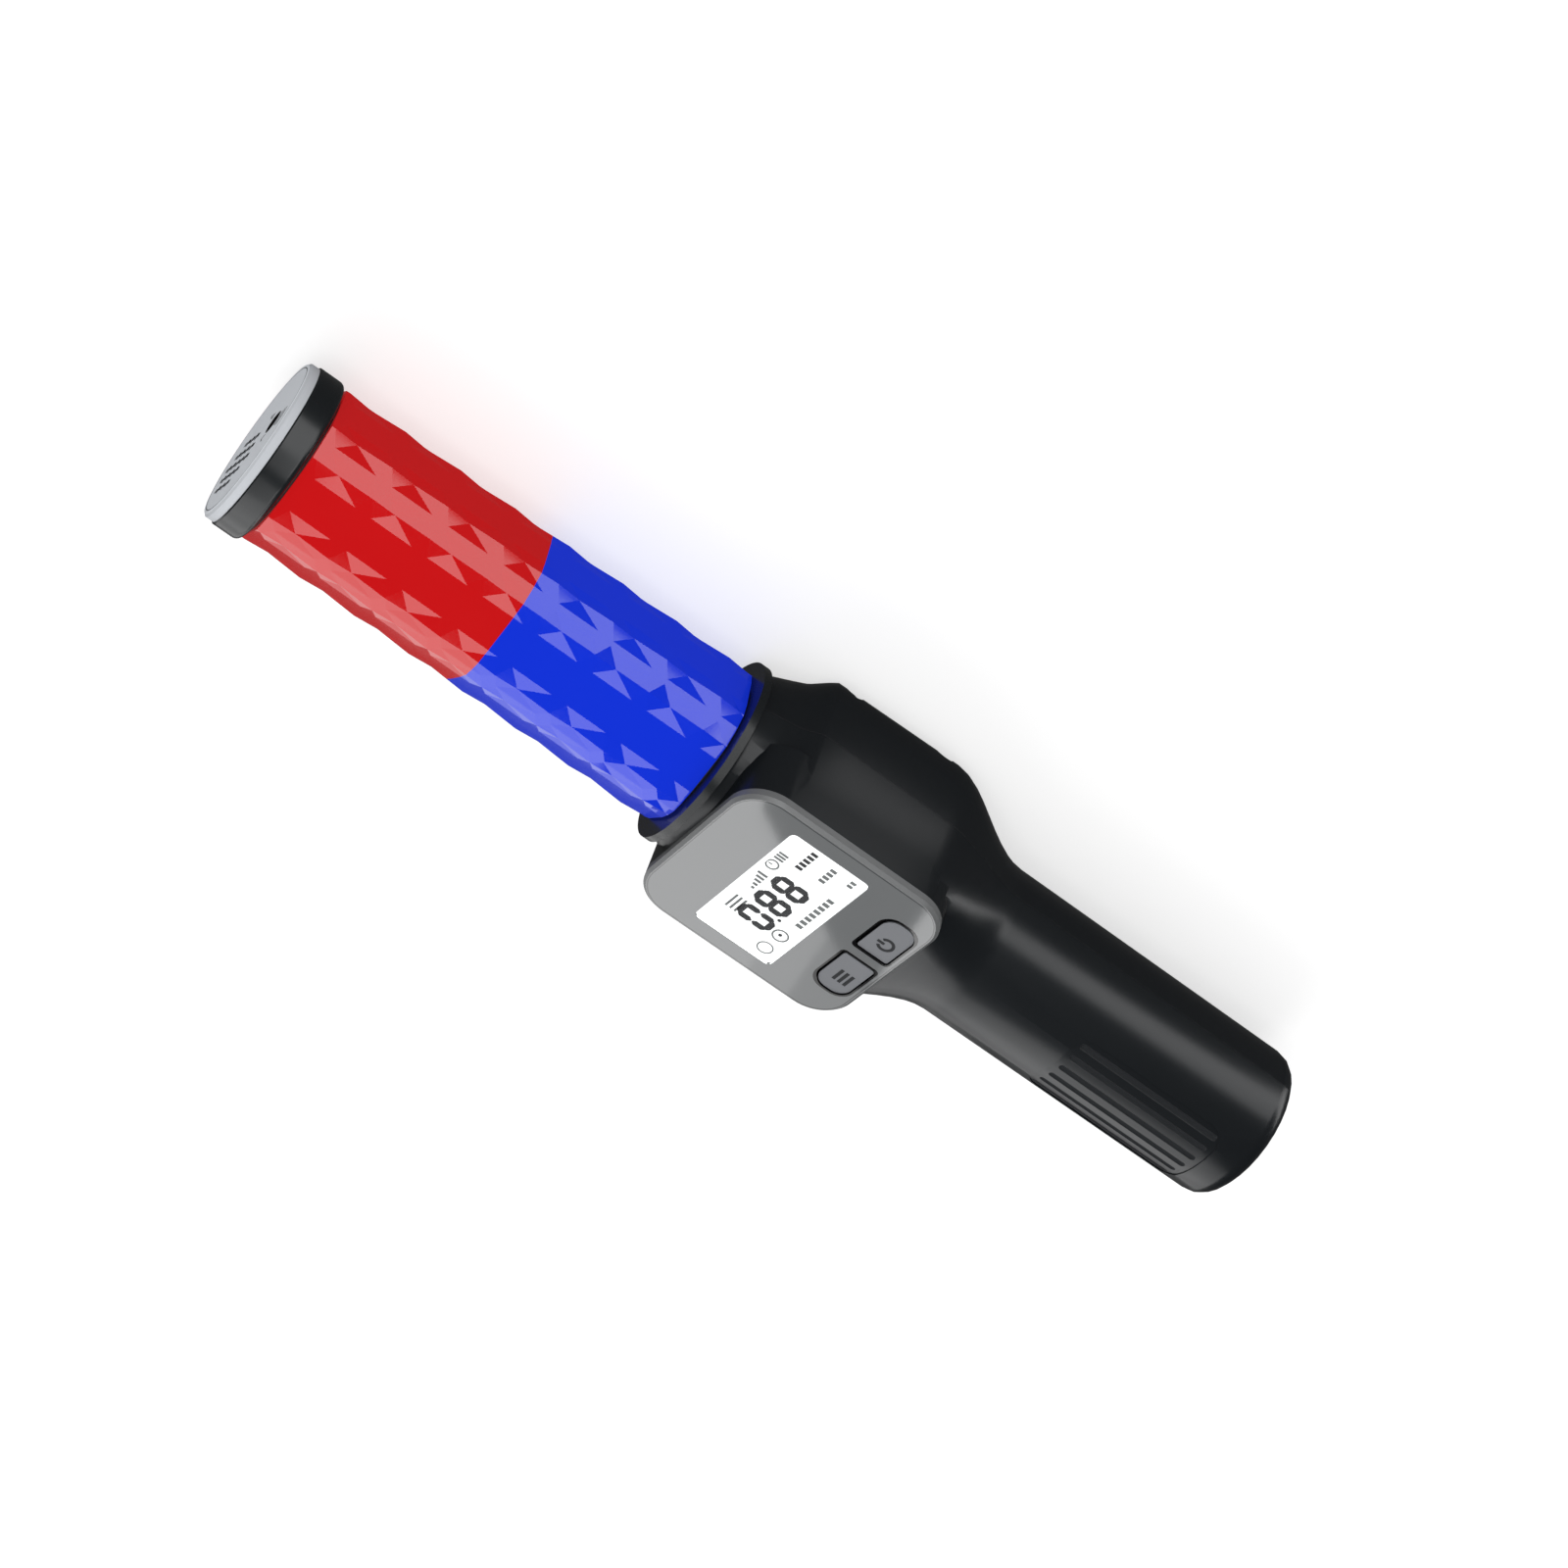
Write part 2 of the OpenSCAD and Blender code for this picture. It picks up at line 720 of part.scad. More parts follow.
module front_shell() {
    seat_foot = 10;
    color("black") place() difference() {
        union() {
            difference() {
                union() {
                    half_shell(1);
                    translate([0, 0, seat_foot]) linear_extrude(seat_h - seat_foot) panel_outline(0);
                }
                translate([0, 0, seat_foot - 1]) linear_extrude(BIG) panel_outline(rim_w);
            }
            for (b = SIDE_BOSSES) translate(b) cylinder(r = boss_r, h = boss_up);
            for (b = GRIP_BOSSES) translate(b) cylinder(r = boss_r, h = handle_r - shell_wall / 2);
        }
        axial(x_neck - sleeve_len - 1) cylinder(r = neck_r - shell_wall - fit, h = sleeve_len + 2);
        at_bosses() translate([0, 0, -1]) cylinder(r = screw_r, h = boss_up - 1);
        grip_pocket();
        grip_grooves();
    }
}

module rear_shell() {
    color("black") place() difference() {
        union() {
            mirror([0, 0, 1]) half_shell(2);
            mirror([0, 0, 1]) {
                for (b = GRIP_BOSSES) translate(b) cylinder(r = boss_r, h = handle_r - shell_wall / 2);
                for (b = SIDE_BOSSES) back_boss(b);
            }
        }
        at_bosses() {
            translate([0, 0, -BIG]) cylinder(r = screw_r + fit, h = BIG + 1);
            translate([0, 0, -screw_seat - BIG]) cylinder(r = screw_head_r + fit, h = BIG);
        }
    }
}

module shell_screws() {
    color("silver") place() at_bosses() {
        translate([0, 0, -screw_seat - 2]) cylinder(r = screw_head_r, h = 2);
        translate([0, 0, -screw_seat - 1]) cylinder(r = screw_r - 0.05, h = screw_seat + boss_up - 3);
    }
}

// ---- Panel and display ----

lip_depth = 2;
lip_w = 0.9;
post_r = 2.5;
pilot_r = 0.9;
ledge = 1.2;
post_in = 11.9; // from the panel's sides to the front posts
post_gap = 6.5; // from the window to the rear posts
post_side = 8.9; // from the panel's sides to the rear posts
POSTS = [for (s = [-1, 1]) each [
    [x_panel - post_in, s * (panel_w / 2 - post_in)],
    [x_window - window_len / 2 - post_gap, s * (panel_w / 2 - post_side)]
]];

// One button seen from the display side, on the +Y side of the bar
module button_outline(grow) {
    hull() for (s = [-1, 1]) {
        translate([s * (button_len / 2 - 0.8), -button_w / 2 + 0.8]) circle(r = 0.8 + grow);
        translate([s * (button_len / 2 - button_r), button_w / 2 - button_r]) circle(r = button_r + grow);
    }
}

// side 1 is the mode button on +Y, and side -1 the power button on -Y
module at_button(side) {
    translate([x_button, side * y_button, 0]) mirror([0, side < 0 ? 1 : 0, 0]) children();
}

module panel_bezel() {
    skin = 0.01;
    color("gray") place() difference() {
        union() {
            translate([0, 0, seat_h]) linear_extrude(panel_t - panel_bevel) panel_outline(0);
            hull() {
                translate([0, 0, panel_top - panel_bevel - skin])
                    linear_extrude(skin) panel_outline(0, $fn = 48);
                translate([0, 0, panel_top - skin])
                    linear_extrude(skin) panel_outline(panel_bevel, $fn = 48);
            }
            translate([0, 0, seat_h - lip_depth]) linear_extrude(lip_depth + 1) difference() {
                panel_outline(rim_w + fit);
                panel_outline(rim_w + fit + lip_w);
            }
            for (p = POSTS)
                translate([p[0], p[1], backlight_z]) cylinder(r = post_r, h = seat_h - backlight_z + 1);
        }
        translate([x_window, 0, window_z]) linear_extrude(panel_t) rounded(window_len, window_w, 2);
        translate([x_window, 0, 0]) linear_extrude(BIG)
            rounded(window_len - 2 * ledge, window_w - 2 * ledge, 1);
        for (side = [-1, 1], gap = [0, button_gap])
            translate([gap, -gap, 0]) at_button(side) linear_extrude(BIG) button_outline(slip);
        for (p = POSTS) translate([p[0], p[1], 0]) cylinder(r = pilot_r, h = seat_h);
    }
}

module lcd_window() {
    color("lightcyan") place() translate([x_window, 0, window_z])
        linear_extrude(window_t) rounded(window_len - slip, window_w - slip, 2 - slip / 2);
}

module lcd_glass() {
    inset = ledge + slip;
    color("white") place() translate([x_window, 0, glass_z]) {
        translate([0, 0, glass_t / 2]) cube([window_len + 2, window_w + 2, glass_t], center = true);
        linear_extrude(window_z - glass_z - 0.2)
            rounded(window_len - 2 * inset, window_w - 2 * inset, 0.8);
    }
}

module lcd_backlight() {
    color("ivory") place() translate([x_window, 0, backlight_z + backlight_t / 2])
        cube([window_len + 2, window_w + 2, backlight_t], center = true);
}

module main_board() {
    margin = rim_w + fit + lip_w + 1;
    color("darkgreen") place() difference() {
        translate([0, 0, board_z]) linear_extrude(board_t) panel_outline(margin);
        for (p = POSTS) translate([p[0], p[1], 0]) cylinder(r = pilot_r + fit, h = BIG);
    }
}

module board_screws() {
    head_h = 1.2;
    grip = 3.5;
    color("silver") place() for (p = POSTS) translate([p[0], p[1], board_z]) {
        translate([0, 0, -head_h]) cylinder(r = 2 * pilot_r, h = head_h);
        translate([0, 0, -head_h / 2]) cylinder(r = pilot_r - 0.05, h = head_h / 2 + board_t + grip);
    }
}

// ---- Buttons ----

brim_over = 0.6; // how far the brim reaches under the panel
brim_t = 0.8;
brim_z = seat_h - rest_gap - brim_t;

// The brim closes the wider gaps from below and keeps clear of the panel's lip at the tail
module button(side) {
    reach = slip + brim_over;
    at_button(side) translate([0, 0, brim_z])
        linear_extrude(panel_top - button_sink - brim_z) button_outline(0);
    translate([x_button - button_len / 2 + slip, side * y_button - button_w / 2 - reach - button_gap, brim_z])
        cube([button_len - slip + reach + button_gap, button_w + 2 * reach + button_gap, brim_t]);
}

module mode_button() {
    color("gray") place() button(1);
}

module power_button() {
    color("gray") place() button(-1);
}

module tact_switches() {
    plunger_z = brim_z - button_travel - 0.1;
    body_h = plunger_z - 0.4 - backlight_z;
    color("dimgray") place() for (side = [-1, 1]) at_button(side) translate([0, 0, backlight_z]) {
        translate([0, 0, body_h / 2]) cube([6, 6, body_h], center = true);
        cylinder(r = 1.6, h = plunger_z - backlight_z);
    }
}

// ---- Battery ----

cradle_top = 3;
cradle_foot = -cell_r - cradle_wall;

module at_cells(x) {
    for (s = [-1, 1]) translate([0, s * (cell_r + 0.15), 0]) axial(x) children();
}

module battery_cradle() {
    length = x_cradle - x_cradle_end;
    bay = length - 2 * cradle_wall;
    color("dimgray") place() difference() {
        intersection() {
            axial(x_cradle_end) cylinder(r = handle_r - shell_wall - 2 * fit, h = length);
            translate([x_cradle_end - 1, -BIG / 2, cradle_foot]) cube([length + 2, BIG, cradle_top - cradle_foot]);
        }
        at_cells(x_cradle_end + cradle_wall) cylinder(r = cell_r + 0.1, h = bay);
        translate([x_cradle_end + cradle_wall, -cell_r, 0]) cube([bay, 2 * cell_r, BIG]);
    }
}

module battery_cells() {
    color("mediumpurple") place() at_cells(x_cells_end) {
        cylinder(r = cell_r, h = cell_len - 1);
        cylinder(r = 3, h = cell_len);
    }
}

module contact_plates() {
    color("gold") place() for (x = [x_cells + 0.05, x_cells_end - spring_len - contact_t])
        at_cells(x) cylinder(r = cell_r - 1, h = contact_t);
}

module contact_springs() {
    foot_r = 5;
    top_r = 3.2;
    wire = 1;
    color("silver") place() at_cells(x_cells_end - spring_len) difference() {
        cylinder(r1 = foot_r, r2 = top_r, h = spring_len);
        translate([0, 0, -1]) cylinder(r = top_r - wire, h = spring_len + 2);
    }
}

// ---- Tail ----

plug_r = handle_r - tail_round - shell_wall - 2 * fit;
plug_t = 0.8;
plug_brim_w = 2.6;
plug_brim_t = 2.6;
shelf_z = -port_h / 2 - board_t;
shelf_t = 2;
shelf_hw = 9;

module tail_plug() {
    recess = [cover_w + 2 * slip, cover_h + 2 * slip];
    color("black") place() difference() {
        union() {
            axial(x_tail) cylinder(r = plug_r, h = plug_t + 1);
            axial(x_tail + plug_t) cylinder(r = plug_r + plug_brim_w, h = plug_brim_t);
            translate([x_tail + plug_t, -shelf_hw, shelf_z - shelf_t])
                cube([x_shelf_end - x_tail - plug_t, 2 * shelf_hw, shelf_t]);
        }
        axial(x_tail - 1) translate([0, 0, (cover_depth + 1) / 2])
            cube([recess[0], recess[1], cover_depth + 1], center = true);
        axial(x_tail) translate([0, 0, BIG / 2])
            cube([port_w + 2 * fit, port_h + 2 * fit, BIG], center = true);
        translate([x_board - fit, -shelf_hw + 1, shelf_z]) cube([BIG, 2 * shelf_hw - 2, board_t + fit]);
    }
}

module charge_board() {
    color("darkgreen") place()
        translate([x_board, -shelf_hw + 1 + fit, shelf_z])
            cube([x_shelf_end - x_board, 2 * (shelf_hw - 1 - fit), board_t]);
}

module charge_port() {
    wall = 0.4;
    color("silver") place() axial(port_x) translate([0, 0, port_len / 2]) difference() {
        cube([port_w, port_h, port_len], center = true);
        translate([0, 0, -wall]) cube([port_w - 2 * wall, port_h - 2 * wall, port_len], center = true);
    }
}

// The port cover hangs from a round upper edge, which turns about the Y direction
hinge_x = x_tail + cover_t / 2;
hinge_z = cover_h / 2 - cover_t / 2;

module port_cover() {
    color("dimgray") place() translate([hinge_x, 0, hinge_z]) {
        rotate([90, 0, 0]) cylinder(r = cover_t / 2, h = cover_w, center = true, $fn = 32);
        translate([-cover_t / 2, -cover_w / 2, -cover_h + cover_t / 2])
            cube([cover_t, cover_w, cover_h - cover_t / 2]);
    }
}

end_plate();
end_cap();
tip_gasket();
speaker();
gas_sensor();
inlet_tube();
sensor_board();
red_lens();
lens_coupler();
blue_lens();
neck_gasket();
light_spine();
front_led_board();
rear_led_board();
red_leds();
blue_leds();
flat_cable();
neck_ring();
front_shell();
rear_shell();
panel_bezel();
lcd_window();
lcd_glass();
lcd_backlight();
main_board();
board_screws();
tact_switches();
power_button();
mode_button();
shell_screws();
battery_cradle();
battery_cells();
contact_plates();
contact_springs();
tail_plug();
charge_board();
charge_port();
port_cover();
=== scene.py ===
"""Dresses the traffic baton light: a finish for every part, the display and its symbols, and the studio."""

import logging
import math
from collections.abc import Callable, Mapping, Sequence
from dataclasses import dataclass
from enum import Enum
from functools import cached_property, partial

import bmesh
import bpy
import numpy as np
from mathutils import Matrix, Vector


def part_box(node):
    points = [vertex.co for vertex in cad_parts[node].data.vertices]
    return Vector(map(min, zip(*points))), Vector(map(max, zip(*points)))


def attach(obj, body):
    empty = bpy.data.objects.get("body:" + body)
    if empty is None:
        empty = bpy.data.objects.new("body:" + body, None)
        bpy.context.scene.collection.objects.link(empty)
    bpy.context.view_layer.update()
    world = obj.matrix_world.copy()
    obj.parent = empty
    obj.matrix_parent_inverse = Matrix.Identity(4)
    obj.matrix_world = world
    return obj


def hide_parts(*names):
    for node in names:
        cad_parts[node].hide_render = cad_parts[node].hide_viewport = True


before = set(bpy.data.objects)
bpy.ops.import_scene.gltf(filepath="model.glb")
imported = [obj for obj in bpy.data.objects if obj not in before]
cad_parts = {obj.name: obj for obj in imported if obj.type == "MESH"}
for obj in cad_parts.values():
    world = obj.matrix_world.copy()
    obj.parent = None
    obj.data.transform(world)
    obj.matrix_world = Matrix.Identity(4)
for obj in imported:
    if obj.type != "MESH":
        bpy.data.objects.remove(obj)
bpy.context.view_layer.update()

logging.basicConfig(level=logging.INFO, format="%(message)s")
LOG = logging.getLogger("baton")

RGB = tuple[float, float, float]
Pair = tuple[float, float]
AXIS_Z = 0.031  # the height of the tube's axis
WHITE: RGB = (1.0, 1.0, 1.0)
# black of painted shade, round the button openings and down the buttons' sides
SHADE_BLACK: RGB = (0.003, 0.003, 0.0035)
SOFT = 0.0001  # the width over which a mask's edge fades


class Body(Enum):
    """The moving groups of the baton."""

    BATON = "baton"
    POWER = "power_button"
    MODE = "mode_button"
    COVER = "port_cover"


def linear(*parts: float) -> RGB:
    """Turns a display colour into the linear colour that a shader takes.

    Args:
        parts: Red, green and blue, from 0 to 255.

    Returns:
        The same colour in linear light: ((c + 0.055) / 1.055) ** 2.4, or c / 12.92 near black.
    """
    share = np.array(parts) / 255.0
    light = np.where(share <= 0.04045, share / 12.92, ((share + 0.055) / 1.055) ** 2.4)
    return tuple(float(c) for c in light)


# --- shader maths


def maths(operation: str, turned: bool = False) -> Callable[..., "Term"]:
    """Makes a method of Term that adds a Math node.

    Args:
        operation: What the node does.
        turned: Whether the term comes after the other value.

    Returns:
        The method.
    """

    def method(self: "Term", *others: object) -> "Term":
        """Adds the Math node on this term and any other value."""
        values = (*others, self) if turned else (self, *others)
        return self.tree.node("ShaderNodeMath", {"operation": operation}, dict(enumerate(values)))

    return method


class Term:
    """A socket in a material. Arithmetic on it adds Math nodes."""

    __add__ = __radd__ = maths("ADD")
    __sub__ = maths("SUBTRACT")
    __rsub__ = maths("SUBTRACT", turned=True)
    __mul__ = __rmul__ = maths("MULTIPLY")
    __pow__ = maths("POWER")
    __abs__ = maths("ABSOLUTE")
    larger = maths("MAXIMUM")
    smaller = maths("MINIMUM")
    sine = maths("SINE")

    def __init__(self, tree: "Tree", socket: bpy.types.NodeSocket) -> None:
        """Keeps the socket and the tree it belongs to."""
        self.tree, self.socket = tree, socket

    def step(self, low: float, high: float) -> "Term":
        """Rises smoothly from 0 at one value of this to 1 at another.

        Args:
            low: The value at which the result is 0.
            high: The value at which the result is 1. It may be below low.

        Returns:
            A mask from 0 to 1.
        """
        if low > high:
            return 1.0 - self.step(high, low)
        settings = {"interpolation_type": "SMOOTHSTEP", "clamp": True}
        return self.tree.node("ShaderNodeMapRange", settings, {0: self, 1: low, 2: high, 3: 0.0, 4: 1.0})

    def band(self, middle: float, half: float, soft: float) -> "Term":
        """Is 1 where this is within half of middle, with edges that are soft wide."""
        return abs(self - middle).step(half + soft, half)


class Tree:
    """The nodes of one material or world."""

    def __init__(self, name: str, world: bool = False) -> None:
        """Makes an empty material or world.

        Args:
            name: Its name.
            world: Whether it is a world.
        """
        self.end = "ShaderNodeOutputWorld" if world else "ShaderNodeOutputMaterial"
        self.owner = (bpy.data.worlds if world else bpy.data.materials).new(name)
        self.owner.use_nodes = True
        self.nodes = self.owner.node_tree.nodes
        self.links = self.owner.node_tree.links
        self.nodes.clear()

    @cached_property
    def place(self) -> Term:
        """The place on the object."""
        return self.node("ShaderNodeTexCoord", output="Object")

    def node(
        self,
        kind: str,
        settings: Mapping[str, object] | None = None,
        inputs: Mapping[str | int, object] | None = None,
        output: str | int = 0,
    ) -> Term:
        """Adds a node, sets it up and joins it to what feeds it.

        Args:
            kind: The node's type.
            settings: The node's own settings.
            inputs: A value or a Term for each input socket, by name or number.
            output: The output socket to return.

        Returns:
            The chosen output as a Term.
        """
        made = self.nodes.new(kind)
        for key, value in (settings or {}).items():
            setattr(made, key, value)
        for key, value in (inputs or {}).items():
            socket = made.inputs[key]
            if isinstance(value, Term):
                self.links.new(value.socket, socket)
            elif socket.type == "RGBA":
                socket.default_value = (*value[:3], 1.0)
            else:
                socket.default_value = value
        return Term(self, made.outputs[output]) if len(made.outputs) else None

    def xyz(self) -> tuple[Term, Term, Term]:
        """The three coordinates of the place on the object, in metres."""
        outputs = self.node("ShaderNodeSeparateXYZ", None, {0: self.place}).socket.node.outputs
        return tuple(Term(self, outputs[k]) for k in range(3))

    def radius(self) -> Term:
        """The distance from the tube's axis: the root of y squared plus (z - axis) squared.

        Returns:
            The distance, in metres.
        """
        _, y, z = self.xyz()
        rise = z - AXIS_Z
        return (y * y + rise * rise) ** 0.5

    def noise(self, size: float, detail: float = 3.0, stretch: RGB = (1.0, 1.0, 1.0)) -> Term:
        """Noise from 0 to 1 with features of a size in metres, made shorter along each axis by the stretch."""
        spot = self.node("ShaderNodeVectorMath", {"operation": "MULTIPLY"}, {0: self.place, 1: stretch})
        return self.node("ShaderNodeTexNoise", None, {"Vector": spot, "Scale": 1.0 / size, "Detail": detail})

    def cells(self, size: float) -> Term:
        """The distance to the nearest of many scattered points, in cell sizes."""
        return self.node("ShaderNodeTexVoronoi", None, {"Vector": self.place, "Scale": 1.0 / size})

    def mix(self, share: object, first: object, second: object) -> Term:
        """Mixes two colours: a share of 0 gives the first and 1 the second."""
        return self.node("ShaderNodeMix", {"data_type": "RGBA"}, {0: share, 6: first, 7: second}, output=2)

    def finish(self, shader: Term) -> bpy.types.Material | bpy.types.World:
        """Ends the material or world with a shader and returns it."""
        self.node(self.end, None, {"Surface": shader})
        return self.owner


# --- finishes


def dimmed(colour: RGB, share: float) -> RGB:
    """A colour with all its light cut to a share, or raised, up to full."""
    return tuple(min(1.0, c * share) for c in colour)


def beyond(across: Term, along: Term, half: Pair, corner: Term | float) -> Term:
    """How far outside a box with round corners: |max(q, 0)| + min(max(qx, qy), 0) - r, q = |p| - half + r.

    Args:
        across: The first coordinate from the box's middle, without its sign.
        along: The second one.
        half: Half the box's sides.
        corner: The radius r of its corners.

    Returns:
        The distance, below 0 inside.
    """
    qx, qy = across - half[0] + corner, along - half[1] + corner
    px, py = qx.larger(0.0), qy.larger(0.0)
    return (px * px + py * py) ** 0.5 + qx.larger(qy).smaller(0.0) - corner


@dataclass(frozen=True)
class Finish:
    """A moulded finish: a colour that drifts a little, smudged gloss and a fine grain."""

    name: str
    colour: RGB
    roughness: float = 0.4
    metallic: float = 0.0
    drift: float = 0.05
    drift_size: float = 0.018
    smudge: float = 0.05
    smudge_size: float = 0.012
    grain: float = 1e-5
    grain_size: float = 0.0007
    glow: float = 0.0
    alpha: float = 1.0
    specular: float = 0.5

    def tint(self, tree: Tree) -> object:
        """The colour: a slow drift of light and dark round the main one, where it drifts at all."""
        low, high = (dimmed(self.colour, 1.0 + side * self.drift) for side in (-1, 1))
        return tree.mix(tree.noise(self.drift_size, 4.0), low, high) if self.drift else self.colour

    def gloss(self, tree: Tree) -> object:
        """The roughness: the base value, more where hands and cloths have dulled it."""
        return (tree.noise(self.smudge_size, 5.0) - 0.5) * (2.0 * self.smudge) + self.roughness

    def relief(self, tree: Tree) -> Term:
        """The height of the fine grain, in metres."""
        return tree.noise(self.grain_size, 2.0) * self.grain

    def sheet(self, tree: Tree) -> Mapping[str, object]:
        """The inputs of the surface shader.

        Args:
            tree: The material's tree.

        Returns:
            Values and Terms by socket name.
        """
        bumped = tree.node("ShaderNodeBump", None, {"Distance": 1.0, "Height": self.relief(tree)})
        return {
            "Base Color": self.tint(tree),
            "Roughness": self.gloss(tree),
            "Metallic": self.metallic,
            "Specular IOR Level": self.specular,
            "Alpha": self.alpha,
            "Normal": bumped,
        }

    def material(self) -> bpy.types.Material:
        """Builds the material.

        Returns:
            The finished material.
        """
        tree = Tree(self.name)
        inputs = dict(self.sheet(tree))
        if self.glow:
            inputs.setdefault("Emission Color", self.colour)
            inputs["Emission Strength"] = self.glow
        return tree.finish(tree.node("ShaderNodeBsdfPrincipled", None, inputs))


@dataclass(frozen=True)
class LensFinish(Finish):
    """Tinted clear plastic: a dimmed base colour under a painted glow, polished facets, faint flow lines."""

    # the base colour is dimmed to these shares; the painted glow set by LightTube makes up the rest
    deep: float = 0.5
    full: float = 0.58
    cloud_size: float = 0.03
    cloud_stretch: RGB = (0.35, 1.0, 1.0)
    flow: float = 4e-6
    flow_size: float = 0.004
    flow_stretch: RGB = (0.15, 1.0, 1.0)
    polish_size: float = 0.0012

    def tint(self, tree: Tree) -> Term:
        """The colour, deeper in slow clouds that are stretched along the tube."""
        clouds = tree.noise(self.cloud_size, 2.0, self.cloud_stretch)
        return tree.mix(clouds, dimmed(self.colour, self.deep), dimmed(self.colour, self.full))

    def relief(self, tree: Tree) -> Term:
        """Flow lines stretched along the tube, and a tenth as much of polish."""
        lines = tree.noise(self.flow_size, 2.0, self.flow_stretch) * self.flow
        return lines + tree.noise(self.polish_size, 1.0) * (self.flow * 0.1)


@dataclass(frozen=True)
class ShellFinish(Finish):
    """Spark-textured housing plastic with the line where its two halves meet."""

    line_z: float = AXIS_Z
    line_half: float = 6e-5
    line_soft: float = 8e-5
    line_depth: float = 8e-5
    line_dark: float = 0.6
    line_tint: RGB = (0.004, 0.004, 0.005)
    groove_r: float = 0.02466
    groove_soft: float = 6e-5
    groove_dull: float = 0.6
    groove_x: Pair = (-0.1663, -0.1115)

    def gloss(self, tree: Tree) -> Term:
        """The roughness, and dull in the grip grooves.

        Args:
            tree: The material's tree.

        Returns:
            The roughness, raised where the distance from the axis is under that of the grooves' edges.
        """
        tail, front = self.groove_x
        x = tree.xyz()[0]
        sunk = tree.radius().step(self.groove_r, self.groove_r - self.groove_soft)
        along = x.step(tail, tail + SOFT) * x.step(front, front - SOFT)
        return Finish.gloss(self, tree) + sunk * along * self.groove_dull

    def seam(self, tree: Tree) -> Term:
        """A mask along the meeting line: 1 where |z - line_z| is under half its width."""
        return tree.xyz()[2].band(self.line_z, self.line_half, self.line_soft)

    def tint(self, tree: Tree) -> Term:
        """The drifting black, and the dark of the meeting line."""
        return tree.mix(self.seam(tree) * self.line_dark, Finish.tint(self, tree), self.line_tint)

    def relief(self, tree: Tree) -> Term:
        """The soft pebbled texture, less the depth of the meeting line."""
        return tree.cells(self.grain_size) * self.grain - self.seam(tree) * self.line_depth


@dataclass(frozen=True)
class PanelFinish(Finish):
    """Grey gloss panel: a duller chamfer darkened by painted shade, and a fine dark line that follows the outline.
    """

    middle: Pair = (0.0, 0.0)
    half: Pair = (0.036, 0.0329)
    top: float = 0.0625
    corner: float = 0.0125
    chamfer: Pair = (0.00125, 0.001)
    chamfer_shade: float = 0.72
    satin: Pair = (0.0012, 0.0009)
    satin_more: float = 0.4
    line_in: float = 0.0015
    line_half: float = 0.00016
    line_soft: float = 8e-5
    line_tone: float = 0.42
    side: Pair = (0.001, 0.0013)
    side_shade: float = 0.75
    key_middle: Pair = (-0.04395, -0.0004)
    key_off: float = 0.0112
    key_half: Pair = (0.006, 0.0089)
    key_corners: Pair = (0.00095, 0.00465)
    key_shade: float = 0.0007

    def inset(self, tree: Tree) -> Term:
        """How far in from the outline, a box with round corners."""
        x, y, _ = tree.xyz()
        return 0.0 - beyond(abs(x - self.middle[0]), abs(y - self.middle[1]), self.half, self.corner)

    def gloss(self, tree: Tree) -> Term:
        """Polished on top and satin on the chamfer."""
        return self.inset(tree).step(*self.satin) * self.satin_more + Finish.gloss(self, tree)

    def from_keys(self, tree: Tree) -> Term:
        """How far from the nearer button opening, whose corners are round on the side away from the other.

        Args:
            tree: The material's tree.

        Returns:
            The distance, below 0 inside the opening.
        """
        x, y, _ = tree.xyz()
        out = abs(y - self.key_middle[1]) - self.key_off
        small, large = self.key_corners
        corner = out.step(-SOFT, SOFT) * (large - small) + small
        return beyond(abs(x - self.key_middle[0]), abs(out), self.key_half, corner)

    def tint(self, tree: Tree) -> Term:
        """Grey, with painted shade on the chamfer and the sides, the dark line, and black painted shade round the
        buttons.

        Args:
            tree: The material's tree.

        Returns:
            The colour.
        """
        inset, drop = self.inset(tree), self.top - tree.xyz()[2]
        # painted shade: the chamfer darkened
        face = tree.mix(inset.step(*self.chamfer), Finish.tint(self, tree), dimmed(self.colour, self.chamfer_shade))
        line = inset.band(self.line_in, self.line_half, self.line_soft)
        lined = tree.mix(line, face, dimmed(self.colour, self.line_tone))
        # painted shade: the panel's sides darkened below the top
        sided = tree.mix(drop.step(*self.side), lined, dimmed(self.colour, self.side_shade))
        # painted shade: black round the button openings
        return tree.mix(self.from_keys(tree).step(self.key_shade + SOFT, self.key_shade), sided, SHADE_BLACK)


